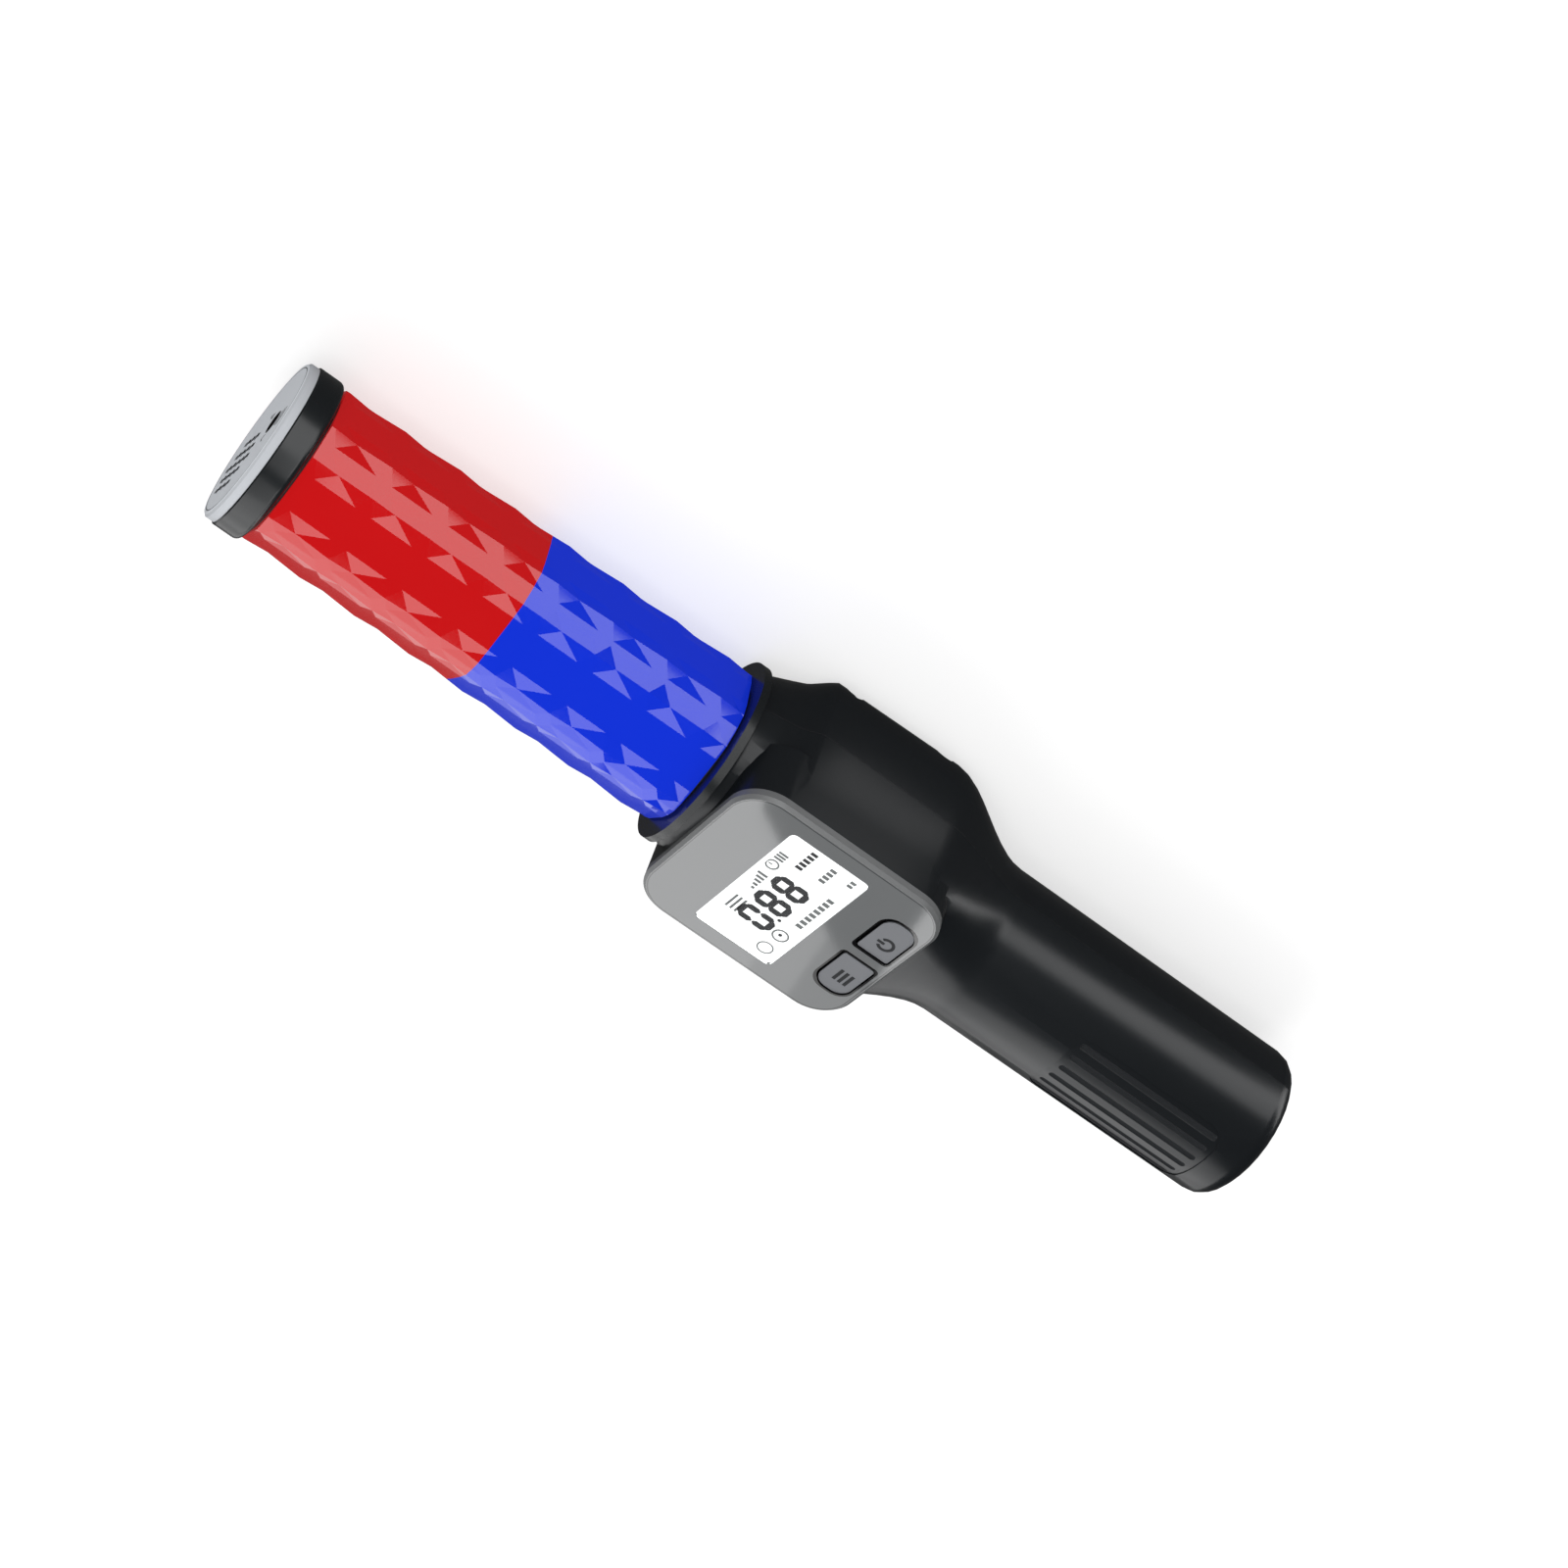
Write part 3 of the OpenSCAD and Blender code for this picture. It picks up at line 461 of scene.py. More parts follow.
@dataclass(frozen=True)
class PlateFinish(Finish):
    """Silver-painted plate: turned lines, a dark line inside the rim, painted shade on its side and in its holes,
    and a black ring of painted shade round the inlet.
    """

    rim: float = 0.0247
    face: float = 0.1812
    line_in: float = 0.0006
    line_half: float = 0.00014
    line_tint: RGB = (0.12, 0.13, 0.14)
    side: Pair = (0.0004, 0.0006)
    side_shade: float = 0.66
    sunk: Pair = (4e-5, 0.0001)
    hole_shade: RGB = (0.004, 0.004, 0.005)
    inlet: Pair = (-0.01142, 0.03313)
    inlet_ring: float = 0.0037
    inlet_ring_tint: RGB = (0.006, 0.006, 0.007)
    turn_pitch: float = 0.0004
    turn_depth: float = 6e-7
    sparkle_size: float = 0.00035

    def tint(self, tree: Tree) -> Term:
        """Silver, with a dark line near the rim, painted shade on the side, black painted shade in the holes below
        the face and a black ring of painted shade round the inlet.

        Args:
            tree: The material's tree.

        Returns:
            The colour.
        """
        radius, (x, y, z) = tree.radius(), tree.xyz()
        lined = tree.mix(
            radius.band(self.rim - self.line_in, self.line_half, SOFT), Finish.tint(self, tree), self.line_tint
        )
        beside = radius - self.rim
        # painted shade: the plate's side darkened
        sided = tree.mix(beside.step(*self.side), lined, dimmed(self.colour, self.side_shade))
        # painted shade: black on the hole walls below the face
        hollow = (self.face - x).step(*self.sunk) * beside.step(0.0, -SOFT)
        dark = tree.mix(hollow, sided, self.hole_shade)
        # painted shade: a black ring round the inlet that widens its dark opening
        off_y, off_z = y - self.inlet[0], z - self.inlet[1]
        inlet_ring = ((off_y * off_y + off_z * off_z) ** 0.5).step(self.inlet_ring + SOFT, self.inlet_ring)
        return tree.mix(inlet_ring, dark, self.inlet_ring_tint)

    def relief(self, tree: Tree) -> Term:
        """Turned lines, sin(radius * 2 pi / pitch), over a fine sparkle of paint."""
        turned = (tree.radius() * (2.0 * math.pi / self.turn_pitch)).sine() * self.turn_depth
        return turned + tree.noise(self.sparkle_size, 2.0) * self.grain


@dataclass(frozen=True)
class KeyFinish(Finish):
    """A button's grey plastic, with black painted shade down its sides where it sinks into the panel."""

    top: float = 0.062
    cap: Pair = (0.0003, 0.0005)

    def tint(self, tree: Tree) -> Term:
        """Grey on the cap, black painted shade below it."""
        # painted shade: black down the button's sides
        below = (self.top - tree.xyz()[2]).step(*self.cap)
        return tree.mix(below, Finish.tint(self, tree), SHADE_BLACK)


@dataclass(frozen=True)
class WindowFinish(Finish):
    """The display's window: clear inside, white round its border where it is printed, with a painted glow on the
    print and the sides.
    """

    middle: Pair = (0.0, 0.0)
    half: Pair = (0.0137, 0.0257)
    border: float = 0.00178
    low: float = 0.0612
    underside: Pair = (0.0004, 0.0002)
    side: Pair = (-0.0003, -0.0002)

    def sheet(self, tree: Tree) -> Mapping[str, object]:
        """The shader's inputs, with the alpha 1 and a painted glow at the sides and, on the underside, inside the
        printed border.

        Args:
            tree: The material's tree.

        Returns:
            Values and Terms by socket name.
        """
        x, y, z = tree.xyz()
        out = (abs(x - self.middle[0]) - self.half[0]).larger(abs(y - self.middle[1]) - self.half[1])
        under = (z - self.low).step(*self.underside)
        printed = (out.step(-self.border - SOFT, -self.border) * under).larger(out.step(*self.side))
        alpha = printed * (1.0 - self.alpha) + self.alpha
        # painted light: the printed border and the sides glow white, so they stay white where the recess shades them
        glow = tree.mix(printed, (0.0, 0.0, 0.0), self.colour)
        return {**Finish.sheet(self, tree), "Alpha": alpha, "Emission Color": glow}


@dataclass(frozen=True)
class RubberFinish(Finish):
    """Soft black rubber: dull, dusty in patches."""

    dust: float = 0.02
    dust_size: float = 0.006
    dust_from: Pair = (0.45, 0.75)

    def tint(self, tree: Tree) -> Term:
        """Black with a trace of pale dust where the noise is high."""
        dusty = tuple(c + self.dust for c in self.colour)
        return tree.mix(tree.noise(self.dust_size, 5.0).step(*self.dust_from), self.colour, dusty)


@dataclass(frozen=True)
class BoardFinish(Finish):
    """Solder mask with the pale trace of copper tracks under it."""

    pitch: Pair = (0.0016, 0.00272)
    edge: Pair = (0.75, 0.9)
    gain: float = 1.35
    lift: float = 0.01

    def tint(self, tree: Tree) -> Term:
        """Two sets of stripes, sin(2 pi x / pitch) and the same in y, show the tracks as a lighter tone.

        Args:
            tree: The material's tree.

        Returns:
            The colour.
        """
        x, y, _ = tree.xyz()
        across, along = ((p * (2.0 * math.pi / pitch)).sine() for p, pitch in zip((x, y), self.pitch))
        lighter = tuple(min(1.0, c * self.gain + self.lift) for c in self.colour)
        return tree.mix(across.larger(along).step(*self.edge), Finish.tint(self, tree), lighter)


@dataclass(frozen=True)
class MetalFinish(Finish):
    """Plated or drawn metal with fine scratches along one direction."""

    metallic: float = 1.0
    scratch: RGB = (0.05, 1.0, 1.0)
    wear_size: float = 0.0006
    wear: float = 0.25
    bright: float = 0.1
    scratch_size: float = 0.0004

    def gloss(self, tree: Tree) -> Term:
        """Roughness that follows the scratches."""
        return tree.noise(self.wear_size, 4.0, self.scratch) * self.wear + (self.roughness - self.bright)

    def relief(self, tree: Tree) -> Term:
        """Scratches stretched along the metal."""
        return tree.noise(self.scratch_size, 3.0, self.scratch) * self.grain


# --- meshes


@dataclass
class Solid:
    """A closed surface as points and faces."""

    points: np.ndarray
    faces: list[list[int]]

    @staticmethod
    def joined(solids: Sequence["Solid"]) -> "Solid":
        """Puts several solids into one.

        Args:
            solids: The solids to join.

        Returns:
            One solid that holds them all.
        """
        starts = np.cumsum([0] + [len(s.points) for s in solids[:-1]])
        faces = [[i + int(start) for i in face] for s, start in zip(solids, starts) for face in s.faces]
        return Solid(np.concatenate([s.points for s in solids]), faces)

    def moved(self, change: Callable[[np.ndarray], np.ndarray]) -> "Solid":
        """The solid with its points sent through a function."""
        return Solid(change(self.points), self.faces)


def quads(rows: int, columns: int, across: int) -> list[list[int]]:
    """The faces of a grid of points, so many across; a face past the last column joins it to the first."""
    down, along = np.arange(rows - 1)[:, None, None] + [0, 0, 1, 1], np.arange(across)[:, None] + [0, 1, 1, 0]
    return (down * columns + along % columns).reshape(-1, 4).tolist()


def loft(grid: np.ndarray, capped: bool = True) -> Solid:
    """Makes a closed surface from a grid of points, point(u, v), that wraps round in v.

    Args:
        grid: Points in an array of stations, points round a station, and 3.
        capped: Whether the first and last stations are closed with a face.

    Returns:
        The solid.
    """
    stations, around = grid.shape[:2]
    faces = quads(stations, around, around)
    if capped:
        faces += [list(range(around))[::-1], list(range((stations - 1) * around, stations * around))]
    return Solid(grid.reshape(-1, 3), faces)


def ribbon(left: np.ndarray, right: np.ndarray, height: float, capped: bool = True) -> Solid:
    """A flat strip between two lines in XY: its corners are left and right at z = 0, then at z = height."""
    corners = [(left, 0.0), (right, 0.0), (right, height), (left, height)]
    return loft(np.stack([np.column_stack([line, np.full(len(line), z)]) for line, z in corners], 1), capped)


def stroke(path: np.ndarray, width: np.ndarray | float, height: float) -> Solid:
    """A flat bar along a path in the XY plane: its two lines are path(u) + side(u) * width(u) / 2 and the same less.

    Args:
        path: Points along the middle, in an array of n by 2.
        width: The width at each point, or one width for all.
        height: How thick the bar is.

    Returns:
        The bar, standing on z = 0.
    """
    way = np.gradient(path, axis=0)
    way /= np.linalg.norm(way, axis=1, keepdims=True)
    side = np.stack([-way[:, 1], way[:, 0]], -1) * (np.broadcast_to(width, len(path))[:, None] / 2)
    return ribbon(path + side, path - side, height)


def bar(start: Pair, end: Pair, width: float, height: float, taper: float = 0.0) -> Solid:
    """A straight bar whose ends narrow over a short length: width(u) falls to a fifth within taper of an end.

    Args:
        start: Where it starts in XY.
        end: Where it ends.
        width: Its width.
        height: Its thickness.
        taper: The length over which each end narrows.

    Returns:
        The bar.
    """
    a, b = np.array(start, float), np.array(end, float)
    reach = float(np.linalg.norm(b - a))
    at = np.array([0.0, taper, reach - taper, reach]) / reach if taper else np.array([0.0, 1.0])
    wide = np.array([0.2, 1.0, 1.0, 0.2]) * width if taper else width
    return stroke(a + at[:, None] * (b - a), wide, height)


def curve(centre: Pair, radius: float, start: float, end: float, steps: int) -> np.ndarray:
    """Points along an arc: centre + radius * (cos a, sin a), with a from start to end in degrees."""
    turn = np.radians(np.linspace(start, end, steps + 1))
    return np.array(centre) + radius * np.column_stack([np.cos(turn), np.sin(turn)])


def arc(centre: Pair, radius: float, start: float, end: float, width: float, height: float) -> Solid:
    """A bar bent to an arc of the given middle radius, with a station every 7.5 degrees and six at least."""
    steps = max(6, int(abs(end - start) / 7.5))
    return stroke(curve(centre, radius, start, end, steps), width, height)


def ring(centre: Pair, radius: float, width: float, height: float, around: int) -> Solid:
    """A closed flat ring of the given middle radius: its two lines are circles half the width inside and outside."""
    inner, outer = (curve(centre, radius + off, 0.0, 360.0, around) for off in (-width / 2, width / 2))
    return ribbon(inner, outer, height, capped=False)


def dot(centre: Pair, radius: float, height: float, around: int = 16) -> Solid:
    """A flat disc: stations at z = 0 and z = height, each a circle of the given radius."""
    flat = curve(centre, radius, 0.0, 360.0, around)[:-1]
    return loft(np.stack([np.column_stack([flat, np.full(around, z)]) for z in (0.0, height)]))


@dataclass(frozen=True)
class Row:
    """A row of bars: bar k runs from start + k * step to end + k * step, and k * grow further along Y."""

    start: Pair
    end: Pair
    width: float
    count: int = 1
    step: Pair = (0.0, 0.0)
    grow: float = 0.0

    def bars(self, height: float) -> list[Solid]:
        """The bars, each with the given thickness."""
        shifts = [(np.multiply(k, self.step), (0.0, k * self.grow)) for k in range(self.count)]
        return [bar(self.start + at, self.end + at + more, self.width, height) for at, more in shifts]


def hang(name: str, data: bpy.types.ID) -> bpy.types.Object:
    """Puts new data into the scene as an object at the origin.

    Args:
        name: The object's name.
        data: Its mesh, camera or lamp.

    Returns:
        The object.
    """
    made = bpy.data.objects.new(name, data)
    bpy.context.scene.collection.objects.link(made)
    return made


def build(
    name: str, solid: Solid, material: bpy.types.Material, body: Body, crease: float = 0.0
) -> bpy.types.Object:
    """Puts a solid into the scene as a piece of the baton.

    Args:
        name: The piece's name.
        solid: Its surface, already in place.
        material: Its finish.
        body: What it moves with.
        crease: The angle, in degrees, above which an edge stays sharp. At 0 every face is flat, and turned outward.

    Returns:
        The piece.
    """
    mesh = bpy.data.meshes.new(name)
    mesh.from_pydata(solid.points.tolist(), [], solid.faces)
    work = bmesh.new()
    work.from_mesh(mesh)
    bmesh.ops.remove_doubles(work, verts=work.verts, dist=1e-6)
    if not crease:
        bmesh.ops.recalc_face_normals(work, faces=work.faces)
    work.to_mesh(mesh)
    work.free()
    mesh.polygons.foreach_set("use_smooth", np.full(len(mesh.polygons), crease > 0.0))
    if crease:
        mesh.set_sharp_from_angle(angle=math.radians(crease))
    mesh.materials.append(material)
    piece = hang(name, mesh)
    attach(piece, body.value)
    if crease:
        piece.modifiers.new("even", "WEIGHTED_NORMAL").keep_sharp = True
    LOG.info("made %s: %d faces, rides on %s", name, len(mesh.polygons), body.value)
    return piece


def dress(finish: Finish, *nodes: str) -> None:
    """Gives CAD nodes one finish.

    Args:
        finish: The finish.
        nodes: The nodes that take it.
    """
    material = finish.material()
    for node in nodes:
        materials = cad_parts[node].data.materials
        materials.clear()
        materials.append(material)
    LOG.info("dressed %s in %s", ", ".join(nodes), finish.name)


def smooth(
    node: str, finish: Finish, body: Body = Body.BATON, lowered: float = 0.0, raised: float = 0.0
) -> None:
    """Stands a smooth-shaded copy in a CAD node's place, its loose triangles merged, creased above 32 degrees.

    Args:
        node: The node.
        finish: The copy's finish.
        body: What it moves with.
        lowered: How far the node's tipmost face is set back: x' = min(x, x_max - lowered).
        raised: How far its underside is lifted clear of what it lies on: z' = max(z, z_min + raised).
    """
    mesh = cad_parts[node].data
    points = np.empty(len(mesh.vertices) * 3)
    mesh.vertices.foreach_get("co", points)
    corners = np.empty(len(mesh.loops), dtype=int)
    mesh.loops.foreach_get("vertex_index", corners)
    points = points.reshape(-1, 3)
    points[:, 0] = np.minimum(points[:, 0], points[:, 0].max() - lowered)
    points[:, 2] = np.maximum(points[:, 2], points[:, 2].min() + raised)
    solid = Solid(points, corners.reshape(-1, 3).tolist())
    piece = build(f"{node}_skin", solid, finish.material(), body, crease=32.0)
    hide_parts(node)


# --- sub-assemblies


def plan(low: Vector, high: Vector) -> tuple[Pair, Pair]:
    """The middle and the half size, in XY, of the box between two corners."""
    return ((low.x + high.x) / 2, (low.y + high.y) / 2), ((high.x - low.x) / 2, (high.y - low.y) / 2)


class Assembly:
    """A sub-assembly of the baton."""

    def dress(self) -> None:
        """Finishes the parts of the CAD model."""

    def build(self) -> None:
        """Adds the printed pieces that the CAD model lacks, where there are any."""


@dataclass
class LightTube(Assembly):
    """The two lenses, their gaskets and the light spine inside."""

    red: RGB = linear(207, 20, 23)
    blue: RGB = linear(18, 52, 222)
    # painted light: the lenses glow, which lifts their colour and evens their shade
    glow: float = 0.43

    def dress(self) -> None:
        """Finishes the tube."""
        for name, colour, node in (("red_clear", self.red, "red_lens"), ("blue_clear", self.blue, "blue_lens")):
            dress(LensFinish(name, colour, roughness=0.07, smudge=0.03, grain=0.0, glow=self.glow), node)
        dress(RubberFinish("seal_rubber", (0.012, 0.012, 0.013), roughness=0.6), "tip_gasket", "neck_gasket")
        white = Finish("white_moulding", (0.8, 0.8, 0.78), roughness=0.45)
        dress(white, "lens_coupler", "light_spine", "lcd_backlight")
        dress(BoardFinish("white_mask", (0.82, 0.82, 0.8), roughness=0.35), "front_led_board", "rear_led_board")
        dress(Finish("red_resin", (0.85, 0.3, 0.26), roughness=0.15, grain=0.0), "red_leds")
        dress(Finish("blue_resin", (0.3, 0.45, 0.9), roughness=0.15, grain=0.0), "blue_leds")
        dress(MetalFinish("ribbon", (0.62, 0.6, 0.55), roughness=0.4, metallic=0.0), "flat_cable")


@dataclass
class Tip(Assembly):
    """The cap, its silver end plate and the parts behind the grille."""

    roll: float = math.radians(-24.0)
    mark_height: float = 3e-5
    set_back: float = 4e-5
    skin_gap: float = 1e-5
    breath_at: Pair = (-0.0113, -0.0027)
    breath_r: float = 0.0052
    breath_step: float = 0.0016
    breath_turn: Pair = (150.0, 210.0)
    breath_trim: float = 4.0
    line_w: float = 0.0006
    tails: tuple[Pair, Pair] = ((-0.0113, 0.0016), (-0.0113, 0.004))
    point: Pair = (-0.0095, 0.0028)
    ticks: Row = Row((-0.0052, -0.0078), (-0.0052, -0.0052), 0.0007, 3, (0.0016, 0.0), -0.0007)
    grille: Pair = (0.007, 0.0066)
    slots: int = 5
    slot_pitch: float = 0.0041
    strip: Pair = (0.0021, 0.0015)
    # one colour for the printed marks and for the painted shade strips of the grille
    ink: RGB = (0.05, 0.055, 0.06)

    def on_plate(self, points: np.ndarray) -> np.ndarray:
        """Sends (across, along, up) on the plate into place: y + i z = (across + i along) e^(i roll) + i axis."""
        spot = (points[:, 0] + 1j * points[:, 1]) * np.exp(1j * self.roll)
        return np.column_stack([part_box("end_plate")[1].x - self.set_back + points[:, 2], spot.real, AXIS_Z + spot.imag])

    def marks(self) -> list[Solid]:
        """Plain marks: breath arcs and a chevron by the inlet, and ticks beside the grille.

        Returns:
            The marks, on the plate.
        """
        tall, (start, end) = self.mark_height, self.breath_turn
        made = []
        for k in range(3):
            trim, radius = k * self.breath_trim, self.breath_r + k * self.breath_step
            made.append(arc(self.breath_at, radius, start + trim, end - trim, self.line_w, tall))
        made += [bar(tail, self.point, self.line_w, tall) for tail in self.tails]
        return made + self.ticks.bars(tall)

    def shade(self) -> list[Solid]:
        """Painted shade: dark strips between the slots of each grille row and at its ends, which make the slots read
        bolder; they stop short of the openings.

        Returns:
            The strips, on the plate.
        """
        made, (length, width) = [], self.strip
        for row in range(-(self.slots // 2), self.slots // 2 + 1):
            count, along = self.slots - abs(row), self.grille[1] + row * self.slot_pitch
            left = self.grille[0] - count / 2 * self.slot_pitch - length / 2
            strips = Row((left, along), (left + length, along), width, count + 1, (self.slot_pitch, 0.0))
            made += strips.bars(self.mark_height)
        return made

    def build(self) -> None:
        """Adds the printed marks and the painted shade strips of the grille."""
        # the printed marks and the painted shade strips, in one piece
        solid = Solid.joined(self.marks() + self.shade()).moved(self.on_plate)
        ink = Finish("plate_ink_and_shade", self.ink, roughness=0.5, grain=0.0, specular=0.1)
        build("plate_marks_and_shade", solid, ink.material(), Body.BATON)

    def dress(self) -> None:
        """Finishes the tip and the neck ring."""
        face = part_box("end_plate")[1].x
        silver = PlateFinish(
            "silver_plate", linear(238, 242, 248), roughness=0.45, specular=0.12, grain=2e-6, drift=0.02, face=face
        )
        black = Finish("gloss_black", linear(26, 29, 31), roughness=0.24, specular=0.35, grain=2e-6, smudge=0.03)
        smooth("end_plate", silver, lowered=self.set_back - self.skin_gap)
        smooth("end_cap", black)
        smooth("neck_ring", black)
        green = BoardFinish("green_mask", (0.02, 0.16, 0.07), roughness=0.3)
        dress(green, "sensor_board", "main_board", "charge_board")
        dress(MetalFinish("tinned_steel", (0.6, 0.6, 0.58), roughness=0.3), "gas_sensor", "charge_port")
        dress(RubberFinish("inlet_rubber", (0.02, 0.02, 0.022), roughness=0.65), "inlet_tube")
        cone = Finish("speaker_cone", (0.03, 0.03, 0.033), roughness=0.55, grain=4e-5, grain_size=0.0004)
        dress(cone, "speaker")


@dataclass
class Housing(Assembly):
    """The two shells, what fastens them and what closes the tail."""

    black: RGB = linear(23, 26, 29)

    def dress(self) -> None:
        """Finishes the housing."""
        shell = ShellFinish(
            "shell_black", self.black, roughness=0.287, specular=0.3, smudge=0.012, grain=1e-6, grain_size=0.0006
        )
        for node in ("front_shell", "rear_shell", "tail_plug"):
            smooth(node, shell)
        smooth("port_cover", RubberFinish("cover_rubber", (0.016, 0.016, 0.018), roughness=0.6), Body.COVER)
        screw = MetalFinish("screw_steel", (0.55, 0.55, 0.54), roughness=0.35)
        dress(screw, "shell_screws", "board_screws")
        dress(Finish("dark_moulding", (0.05, 0.05, 0.055), roughness=0.5), "battery_cradle", "tact_switches")
        dress(Finish("cell_wrap", (0.1, 0.14, 0.3), roughness=0.3, grain=0.0), "battery_cells")
        dress(MetalFinish("contact_nickel", (0.68, 0.66, 0.6), roughness=0.25), "contact_plates")
        dress(MetalFinish("spring_steel", (0.6, 0.6, 0.6), roughness=0.3), "contact_springs")


class Segment(Enum):
    """The seven bars of a digit, each from one (column, row) of its six corners to another."""

    A = ((0, 2), (1, 2))
    B = ((1, 1), (1, 2))
    C = ((1, 0), (1, 1))
    D = ((0, 0), (1, 0))
    E = ((0, 0), (0, 1))
    F = ((0, 1), (0, 2))
    G = ((0, 1), (1, 1))


def blocks(right: float, up: float, count: int, width: float, height: float, filled: float = 0.62) -> Row:
    """A row of small upright bars, a plain stand-in for a unit; (right, up) is the middle of the first."""
    step = width / count
    return Row((right, up - height / 2), (right, up + height / 2), step * filled, count, (step, 0.0))


@dataclass
class Display(Assembly):
    """The reading 0.88 and plain status marks on the white display, in (right, up) from its origin."""

    digit_w: float = 0.0069
    digit_h: float = 0.0121
    pitch: float = 0.0087
    bar_w: float = 0.0021
    taper: float = 0.45
    gap: float = 0.00016
    dot_r: float = 0.0006
    ink_height: float = 6e-5
    skin_gap: float = 1e-5
    lift: float = 4e-5
    reading: tuple[str, ...] = ("ABCDEF", "ABCDEFG", "ABCDEFG")
    middle: Pair = (-0.0132, 0.00425)
    unit: Row = blocks(0.0141, -0.0096, 5, 0.0098, 0.0023)
    spot: Pair = (-0.0135, -0.0224)
    faint_rows: tuple[Row, ...] = (
        blocks(0.015, -0.0172, 4, 0.0078, 0.0021),
        blocks(0.0196, -0.0239, 2, 0.0036, 0.0018),
        blocks(-0.0058, -0.0239, 8, 0.018, 0.0022),
        Row((-0.016, -0.0042), (-0.0095, -0.0042), 0.0007, 3, (0.0, -0.0016)),
        Row((-0.0034, -0.0058), (-0.0034, -0.0048), 0.0009, 5, (0.0017, 0.0), 0.0006),
        Row((0.009, -0.0036), (0.009, -0.0023), 0.0004),
        Row((0.0123, -0.0052), (0.0123, -0.002), 0.0008, 3, (0.0013, 0.0)),
    )
    rings: tuple[tuple[Pair, float, float, int], ...] = (
        ((-0.0137, -0.0226), 0.0024, 0.0005, 32),
        ((-0.0215, -0.0225), 0.0024, 0.0004, 32),
        ((0.009, -0.0036), 0.0019, 0.0005, 28),
    )
    black: RGB = (0.012, 0.013, 0.015)
    faint: RGB = (0.13, 0.14, 0.14)
    pale: RGB = (0.93, 0.945, 0.945)

    def on_glass(self, points: np.ndarray) -> np.ndarray:
        """Sends (right, up, out) on the display into place: x = up, y = -right, z = the glass's top + out."""
        right, up, out = points.T
        return np.column_stack([up, -right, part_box("lcd_glass")[1].z + self.skin_gap + out])

    def segment(self, which: Segment, left: float, base: float) -> Solid:
        """One bar of a digit, with pointed ends, a gap short of the corners it runs between.

        Args:
            which: The bar.
            left: The digit's left edge.
            base: The digit's lower edge.

        Returns:
            The bar.
        """
        cell = np.array([self.digit_w - self.bar_w, (self.digit_h - self.bar_w) / 2])
        start, end = (np.array([left, base]) + self.bar_w / 2 + np.array(corner) * cell for corner in which.value)
        short = self.gap * (end - start) / np.linalg.norm(end - start)
        return bar(start + short, end - short, self.bar_w, self.ink_height, taper=self.bar_w * self.taper)

    def digits(self) -> list[Solid]:
        """The three digits and the point after the first.

        Returns:
            Their bars and the point.
        """
        wide = self.pitch * (len(self.reading) - 1) + self.digit_w
        left, base = -self.middle[1] - wide / 2, self.middle[0] - self.digit_h / 2
        made = []
        for k, letters in enumerate(self.reading):
            made += [self.segment(Segment[letter], left + k * self.pitch, base) for letter in letters]
        point = left + self.digit_w + (self.pitch - self.digit_w) / 2
        return made + [dot((point, base + self.dot_r), self.dot_r, self.ink_height)]

    def build(self) -> None:
        """Adds the reading, its unit and a status dot in black, and gauges, unit blocks and rings in grey."""
        tall = self.ink_height
        strong = self.digits() + self.unit.bars(tall) + [dot(self.spot, self.dot_r, tall)]
        weak = [made for row in self.faint_rows for made in row.bars(tall)]
        weak += [ring(centre, radius, width, tall, around) for centre, radius, width, around in self.rings]
        for name, solids, ink, colour, drift in (
            ("display_reading", strong, "display_black", self.black, 0.0),
            ("display_marks", weak, "display_faint", self.faint, 0.1),
        ):
            finish = Finish(ink, colour, roughness=0.5, grain=0.0, drift=drift, specular=0.1)
            build(name, Solid.joined(solids).moved(self.on_glass), finish.material(), Body.BATON)

    def dress(self) -> None:
        """Finishes the display's glass and window."""
        low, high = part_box("lcd_window")
        middle, half = plan(low, high)
        window = WindowFinish(
            "clear_window",
            self.pale,
            roughness=0.06,
            grain=0.0,
            drift=0.0,
            alpha=0.015,
            specular=0.3,
            # painted light: the glow of the window's border and sides
            glow=0.6,
            middle=middle,
            half=half,
            low=low.z,
        )
        white = Finish("display_white", self.pale, roughness=0.4, grain=0.0, drift=0.01, glow=0.3, specular=0.2)
        dress(white, "lcd_glass")
        smooth("lcd_window", window, raised=self.lift)


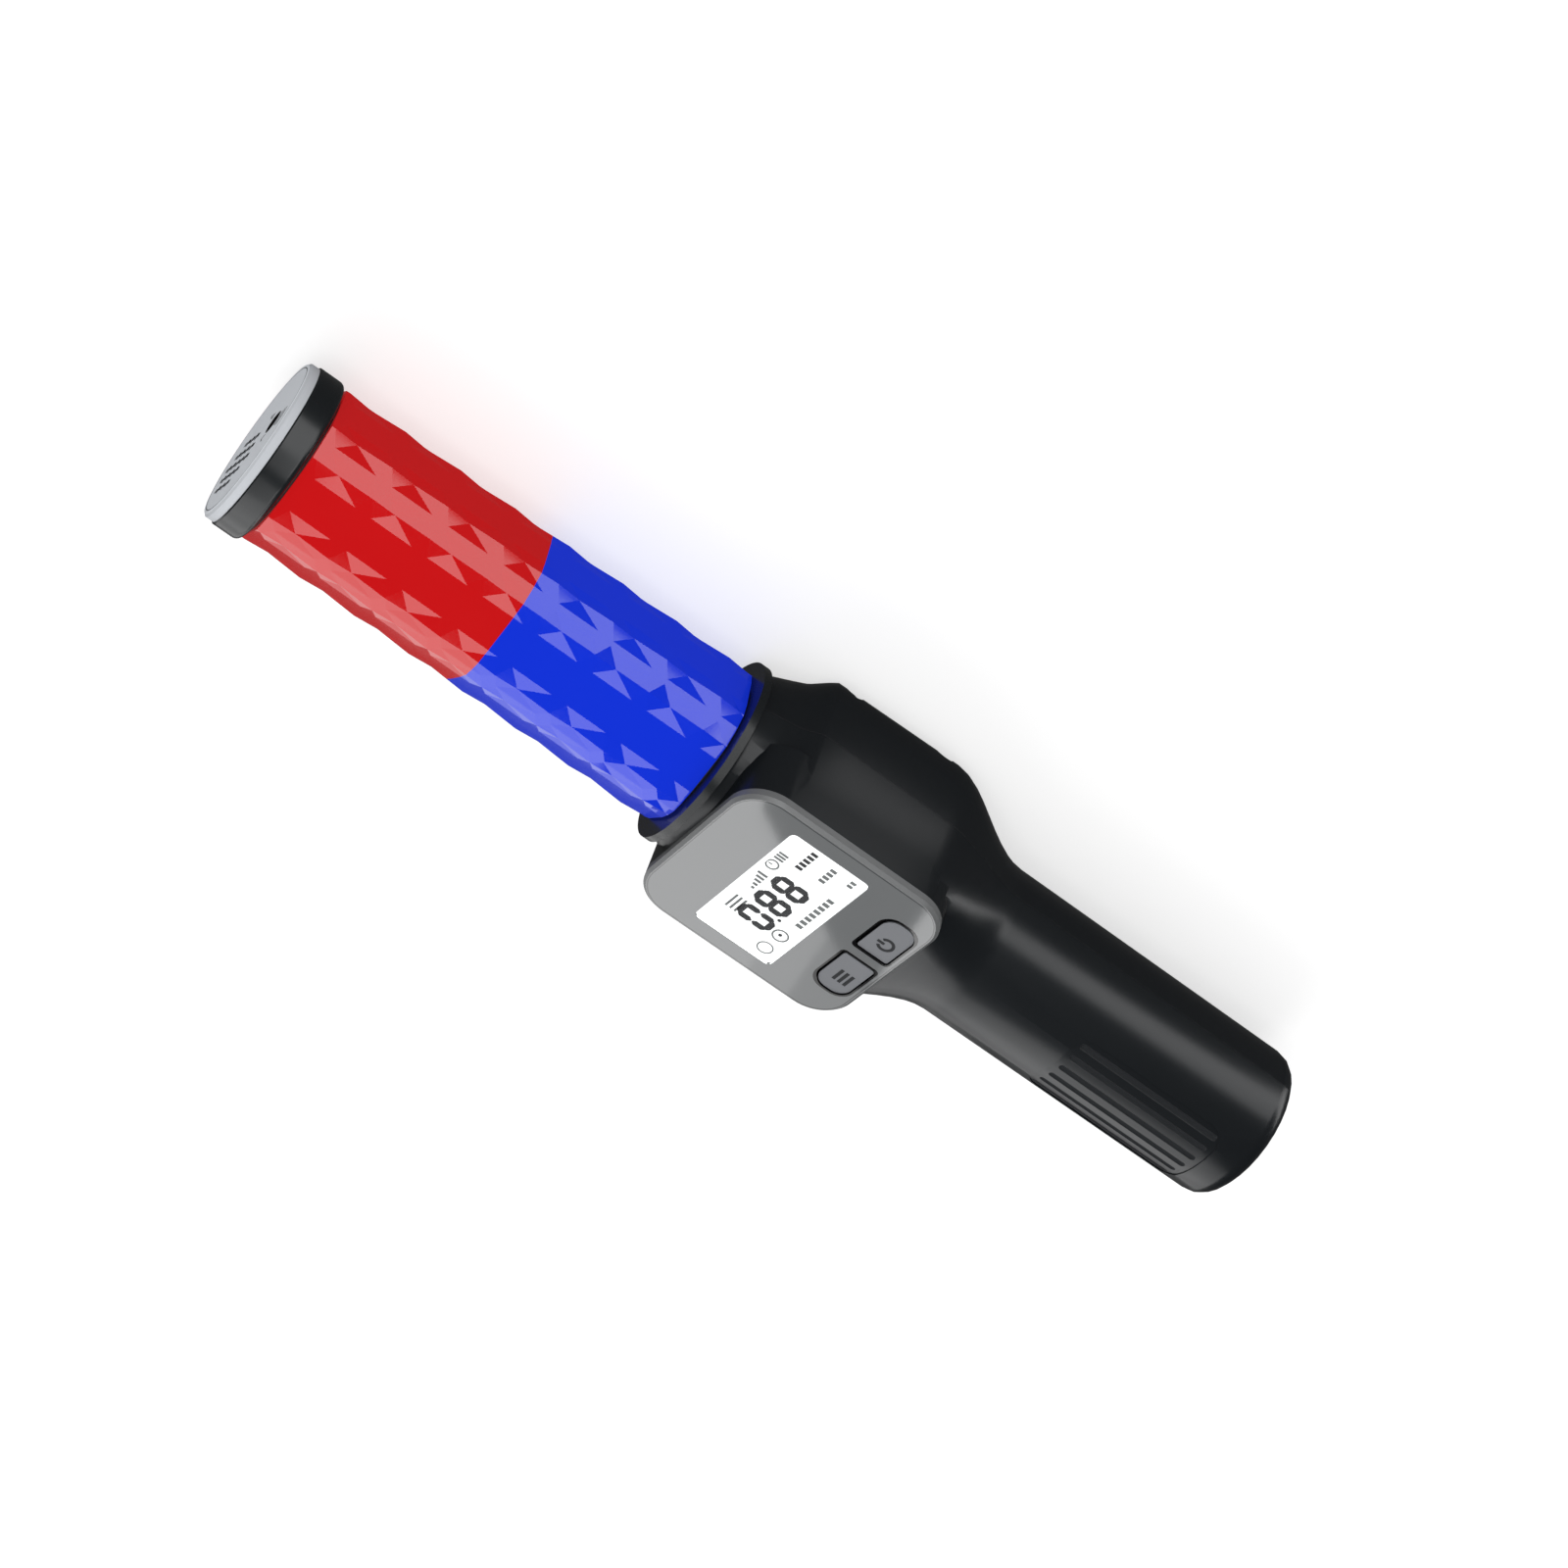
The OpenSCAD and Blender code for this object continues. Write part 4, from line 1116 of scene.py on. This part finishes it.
@dataclass
class ControlPanel(Assembly):
    """The grey panel and its two buttons."""

    ring_r: float = 0.0023
    ring_turn: Pair = (125.0, 415.0)
    stem: Pair = (0.25, 1.3)
    line_w: float = 0.001
    ink_height: float = 8e-5
    sunk: float = 1e-5
    power_at: Pair = (-0.0449, -0.0093)
    menu_at: Pair = (-0.045, 0.0122)
    menu_w: float = 0.0054
    menu_step: float = 0.0019
    menu_line: float = 0.0011
    ink: RGB = (0.022, 0.023, 0.025)

    def on_button(self, node: str, at: Pair, points: np.ndarray) -> np.ndarray:
        """Sends (right, up, out) onto a button: x = at + up, y = at - right, z = the button's top + out."""
        right, up, out = points.T
        return np.column_stack([at[0] + up, at[1] - right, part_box(node)[1].z - self.sunk + out])

    def build(self) -> None:
        """Adds the power and menu symbols."""
        ink = Finish("symbol_ink", self.ink, roughness=0.5, grain=0.0, specular=0.08).material()
        low, high = (self.ring_r * share for share in self.stem)
        power = [
            arc((0.0, 0.0), self.ring_r, *self.ring_turn, self.line_w, self.ink_height),
            bar((0.0, low), (0.0, high), self.line_w, self.ink_height),
        ]
        half, step = self.menu_w / 2, self.menu_step
        menu = Row((-half, -step), (half, -step), self.menu_line, 3, (0.0, step)).bars(self.ink_height)
        for name, solids, node, at, body in (
            ("power_symbol", power, "power_button", self.power_at, Body.POWER),
            ("menu_symbol", menu, "mode_button", self.menu_at, Body.MODE),
        ):
            build(name, Solid.joined(solids).moved(partial(self.on_button, node, at)), ink, body)

    def dress(self) -> None:
        """Finishes the panel and buttons."""
        low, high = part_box("panel_bezel")
        middle, half = plan(low, high)
        panel = PanelFinish(
            "panel_grey",
            linear(113, 115, 116),
            roughness=0.045,
            specular=0.75,
            smudge=0.01,
            grain=1e-6,
            drift=0.02,
            middle=middle,
            half=half,
            top=high.z,
        )
        smooth("panel_bezel", panel)
        top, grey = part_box("power_button")[1].z, linear(110, 112, 116)
        key = KeyFinish("button_grey", grey, roughness=0.4, specular=0.2, grain=2e-6, top=top)
        smooth("power_button", key, Body.POWER)
        smooth("mode_button", key, Body.MODE)


# --- studio


@dataclass
class View:
    """The camera: where it stands and its three directions, squared up by the nearest rotation."""

    place: RGB = (0.3048, -0.78435, 0.7964)
    right: RGB = (-0.78888, -0.55941, -0.25441)
    down: RGB = (-0.55285, 0.46522, 0.69133)
    ahead: RGB = (-0.26838, 0.68603, -0.67627)
    lens: float = 90.0
    sensor: float = 36.0
    clip: Pair = (0.05, 20.0)

    def build(self) -> None:
        """Makes the scene's camera; its own axes are right, up and back."""
        left_turn, _, right_turn = np.linalg.svd([self.right, self.down, self.ahead])
        right, down, ahead = left_turn @ right_turn
        data = bpy.data.cameras.new("view")
        data.lens, data.sensor_width = self.lens, self.sensor
        data.clip_start, data.clip_end = self.clip
        camera = hang("view", data)
        axes = Matrix(np.column_stack([right, -down, -ahead]).tolist()).to_4x4()
        camera.matrix_world = Matrix.Translation(self.place) @ axes
        bpy.context.scene.camera = camera
        LOG.info("camera at %s", self.place)


@dataclass(frozen=True)
class Card:
    """A glowing reflector card bent round the baton's axis, seen only in gloss.

    Its point at angle t and length x is (x + lean d, d sin t, axis + d cos t), with d the card's distance,
    or the distance to the floor where that is nearer. Its first edge slants, x = near - slant (t - from),
    as far as stop.
    """

    name: str
    start: float
    end: float
    near_x: float
    far_x: float
    strength: float
    distance: float = 0.6
    slant: float = 0.0
    slant_from: float = 0.0
    stop: float = -9.0
    lean: float = 0.0
    clear: float = 0.0008
    points: tuple[int, int] = (49, 13)

    def surface(self) -> np.ndarray:
        """The card's grid of points.

        Returns:
            An array of angles by lengths by 3.
        """
        turn = np.linspace(self.start, self.end, self.points[0])[:, None]
        angle = np.radians(turn)
        reach = np.minimum(self.distance, (AXIS_Z - self.clear) / np.maximum(-np.cos(angle), 1e-6))
        first = np.maximum(self.near_x - self.slant * np.maximum(turn - self.slant_from, 0.0), self.stop)
        first = np.minimum(first, self.far_x)
        x = first + (self.far_x - first) * np.linspace(0, 1, self.points[1]) + self.lean * reach
        return np.stack(np.broadcast_arrays(x, reach * np.sin(angle), AXIS_Z + reach * np.cos(angle)), -1)

    def build(self) -> None:
        """Hangs the card."""
        grid = self.surface()
        rows, columns = grid.shape[:2]
        mesh = bpy.data.meshes.new(self.name)
        mesh.from_pydata(grid.reshape(-1, 3).tolist(), [], quads(rows, columns, columns - 1))
        tree = Tree(self.name)
        glow = tree.node("ShaderNodeEmission", None, {"Color": WHITE, "Strength": self.strength})
        mesh.materials.append(tree.finish(glow))
        card = hang(self.name, mesh)
        card.visible_camera = card.visible_diffuse = card.visible_transmission = card.visible_shadow = False
        LOG.info("hung %s", self.name)


@dataclass
class Studio:
    """A pale floor, soft lamps, reflector cards and the world round them."""

    floor_half: float = 4.0
    floor_z: float = -0.0001
    floor_tone: float = 0.5
    floor_lift: float = 0.62
    floor_gloss: float = 0.08
    world_diffuse: float = 0.64
    world_gloss: float = 0.024
    lamp_size: float = 1.4
    lamp_power: float = 14.0
    key_place: RGB = (0.5, -1.3, 1.4)
    fill_place: RGB = (-0.4, 1.2, 1.4)
    fill_share: float = 0.6
    cards: tuple[Card, ...] = (
        Card("lens_low", -97.0, -54.0, -0.14, 0.5, 3.0),
        Card("lens_front", -54.0, -26.2, -0.14, 0.099, 3.0),
        Card("lens_top", -10.6, 15.0, -0.152, 0.099, 3.0),
        Card("lens_above", 15.0, 55.0, -0.152, 0.5, 2.8),
        Card("lens_high", 55.0, 81.0, -0.152, 0.5, 2.0),
        Card("lens_edge", 81.0, 101.0, -0.152, 0.5, 0.9),
        Card("panel_tip", 38.0, 50.0, -0.152, -0.152, 2.8, slant=0.0214, slant_from=41.9, stop=-0.19),
        Card("panel_middle", 38.0, 50.0, -0.152, -0.19, 2.1, slant=0.0214, slant_from=41.9, stop=-0.212),
        Card("panel_tail", 38.0, 50.0, -0.152, -0.212, 1.2, slant=0.0214, slant_from=41.9, stop=-0.26),
        Card("side_card", -114.5, -108.5, -0.044, 0.004, 1.6, lean=-0.22),
        Card("grip_low", -121.0, -70.0, -0.5, -0.215, 3.9),
        Card("grip_high", 22.0, 70.0, -0.5, -0.242, 2.8),
        Card("grip_edge", 70.0, 92.0, -0.5, -0.242, 1.3),
    )

    def floor(self) -> None:
        """Lays the floor: matt and pale, lifted to white where the camera sees it, dark in gloss."""
        half = self.floor_half
        corners = [(x * half, y * half, self.floor_z) for x, y in ((-1, -1), (1, -1), (1, 1), (-1, 1))]
        mesh = bpy.data.meshes.new("floor")
        mesh.from_pydata(corners, [], [[0, 1, 2, 3]])
        tree = Tree("floor")
        path = tree.node("ShaderNodeLightPath", output="Is Camera Ray")
        gloss = tree.node("ShaderNodeLightPath", output="Is Glossy Ray")
        matt = tree.node("ShaderNodeBsdfDiffuse", None, {"Color": (self.floor_tone,) * 3})
        lift = tree.node("ShaderNodeEmission", None, {"Color": WHITE, "Strength": path * self.floor_lift})
        seen = tree.node("ShaderNodeAddShader", None, {0: matt, 1: lift})
        dark = tree.node("ShaderNodeEmission", None, {"Color": WHITE, "Strength": self.floor_gloss})
        mesh.materials.append(tree.finish(tree.node("ShaderNodeMixShader", None, {0: gloss, 1: seen, 2: dark})))
        floor = hang("floor", mesh)

    def world(self) -> None:
        """Sets the world: white to the camera, a plain level for matt surfaces, dim in gloss."""
        tree = Tree("studio", world=True)
        camera = tree.node("ShaderNodeLightPath", output="Is Camera Ray")
        gloss = tree.node("ShaderNodeLightPath", output="Is Glossy Ray")
        level = gloss * (self.world_gloss - self.world_diffuse) + self.world_diffuse
        seen = camera * (1.0 - level) + level
        sky = tree.node("ShaderNodeBackground", None, {"Color": WHITE, "Strength": seen})
        bpy.context.scene.world = tree.finish(sky)

    def lamp(self, name: str, place: RGB, power: float) -> None:
        """Hangs a soft lamp that points at the baton and isn't seen in gloss.

        Args:
            name: The lamp's name.
            place: Where it hangs.
            power: Its power in watts.
        """
        data = bpy.data.lights.new(name, "AREA")
        data.size, data.energy = self.lamp_size, power
        lamp = hang(name, data)
        back = np.array(place) / np.linalg.norm(place)
        side = np.cross((0.0, 1.0, 0.2), back)
        side /= np.linalg.norm(side)
        axes = Matrix(np.column_stack([side, np.cross(back, side), back]).tolist()).to_4x4()
        lamp.matrix_world = Matrix.Translation(place) @ axes
        lamp.visible_glossy = lamp.visible_camera = False

    def build(self) -> None:
        """Sets up the studio."""
        self.floor()
        self.world()
        self.lamp("key_lamp", self.key_place, self.lamp_power)
        self.lamp("fill_lamp", self.fill_place, self.lamp_power * self.fill_share)
        for card in self.cards:
            card.build()
        LOG.info("studio ready")


def main() -> None:
    """Builds the camera, the baton's pieces and the studio, in order."""
    View().build()
    for assembly in (LightTube(), Tip(), Housing(), Display(), ControlPanel()):
        assembly.dress()
        assembly.build()
        LOG.info("finished %s", type(assembly).__name__)
    Studio().build()
    bpy.context.scene.view_settings.view_transform = "Standard"


if __name__ == "__main__":
    main()
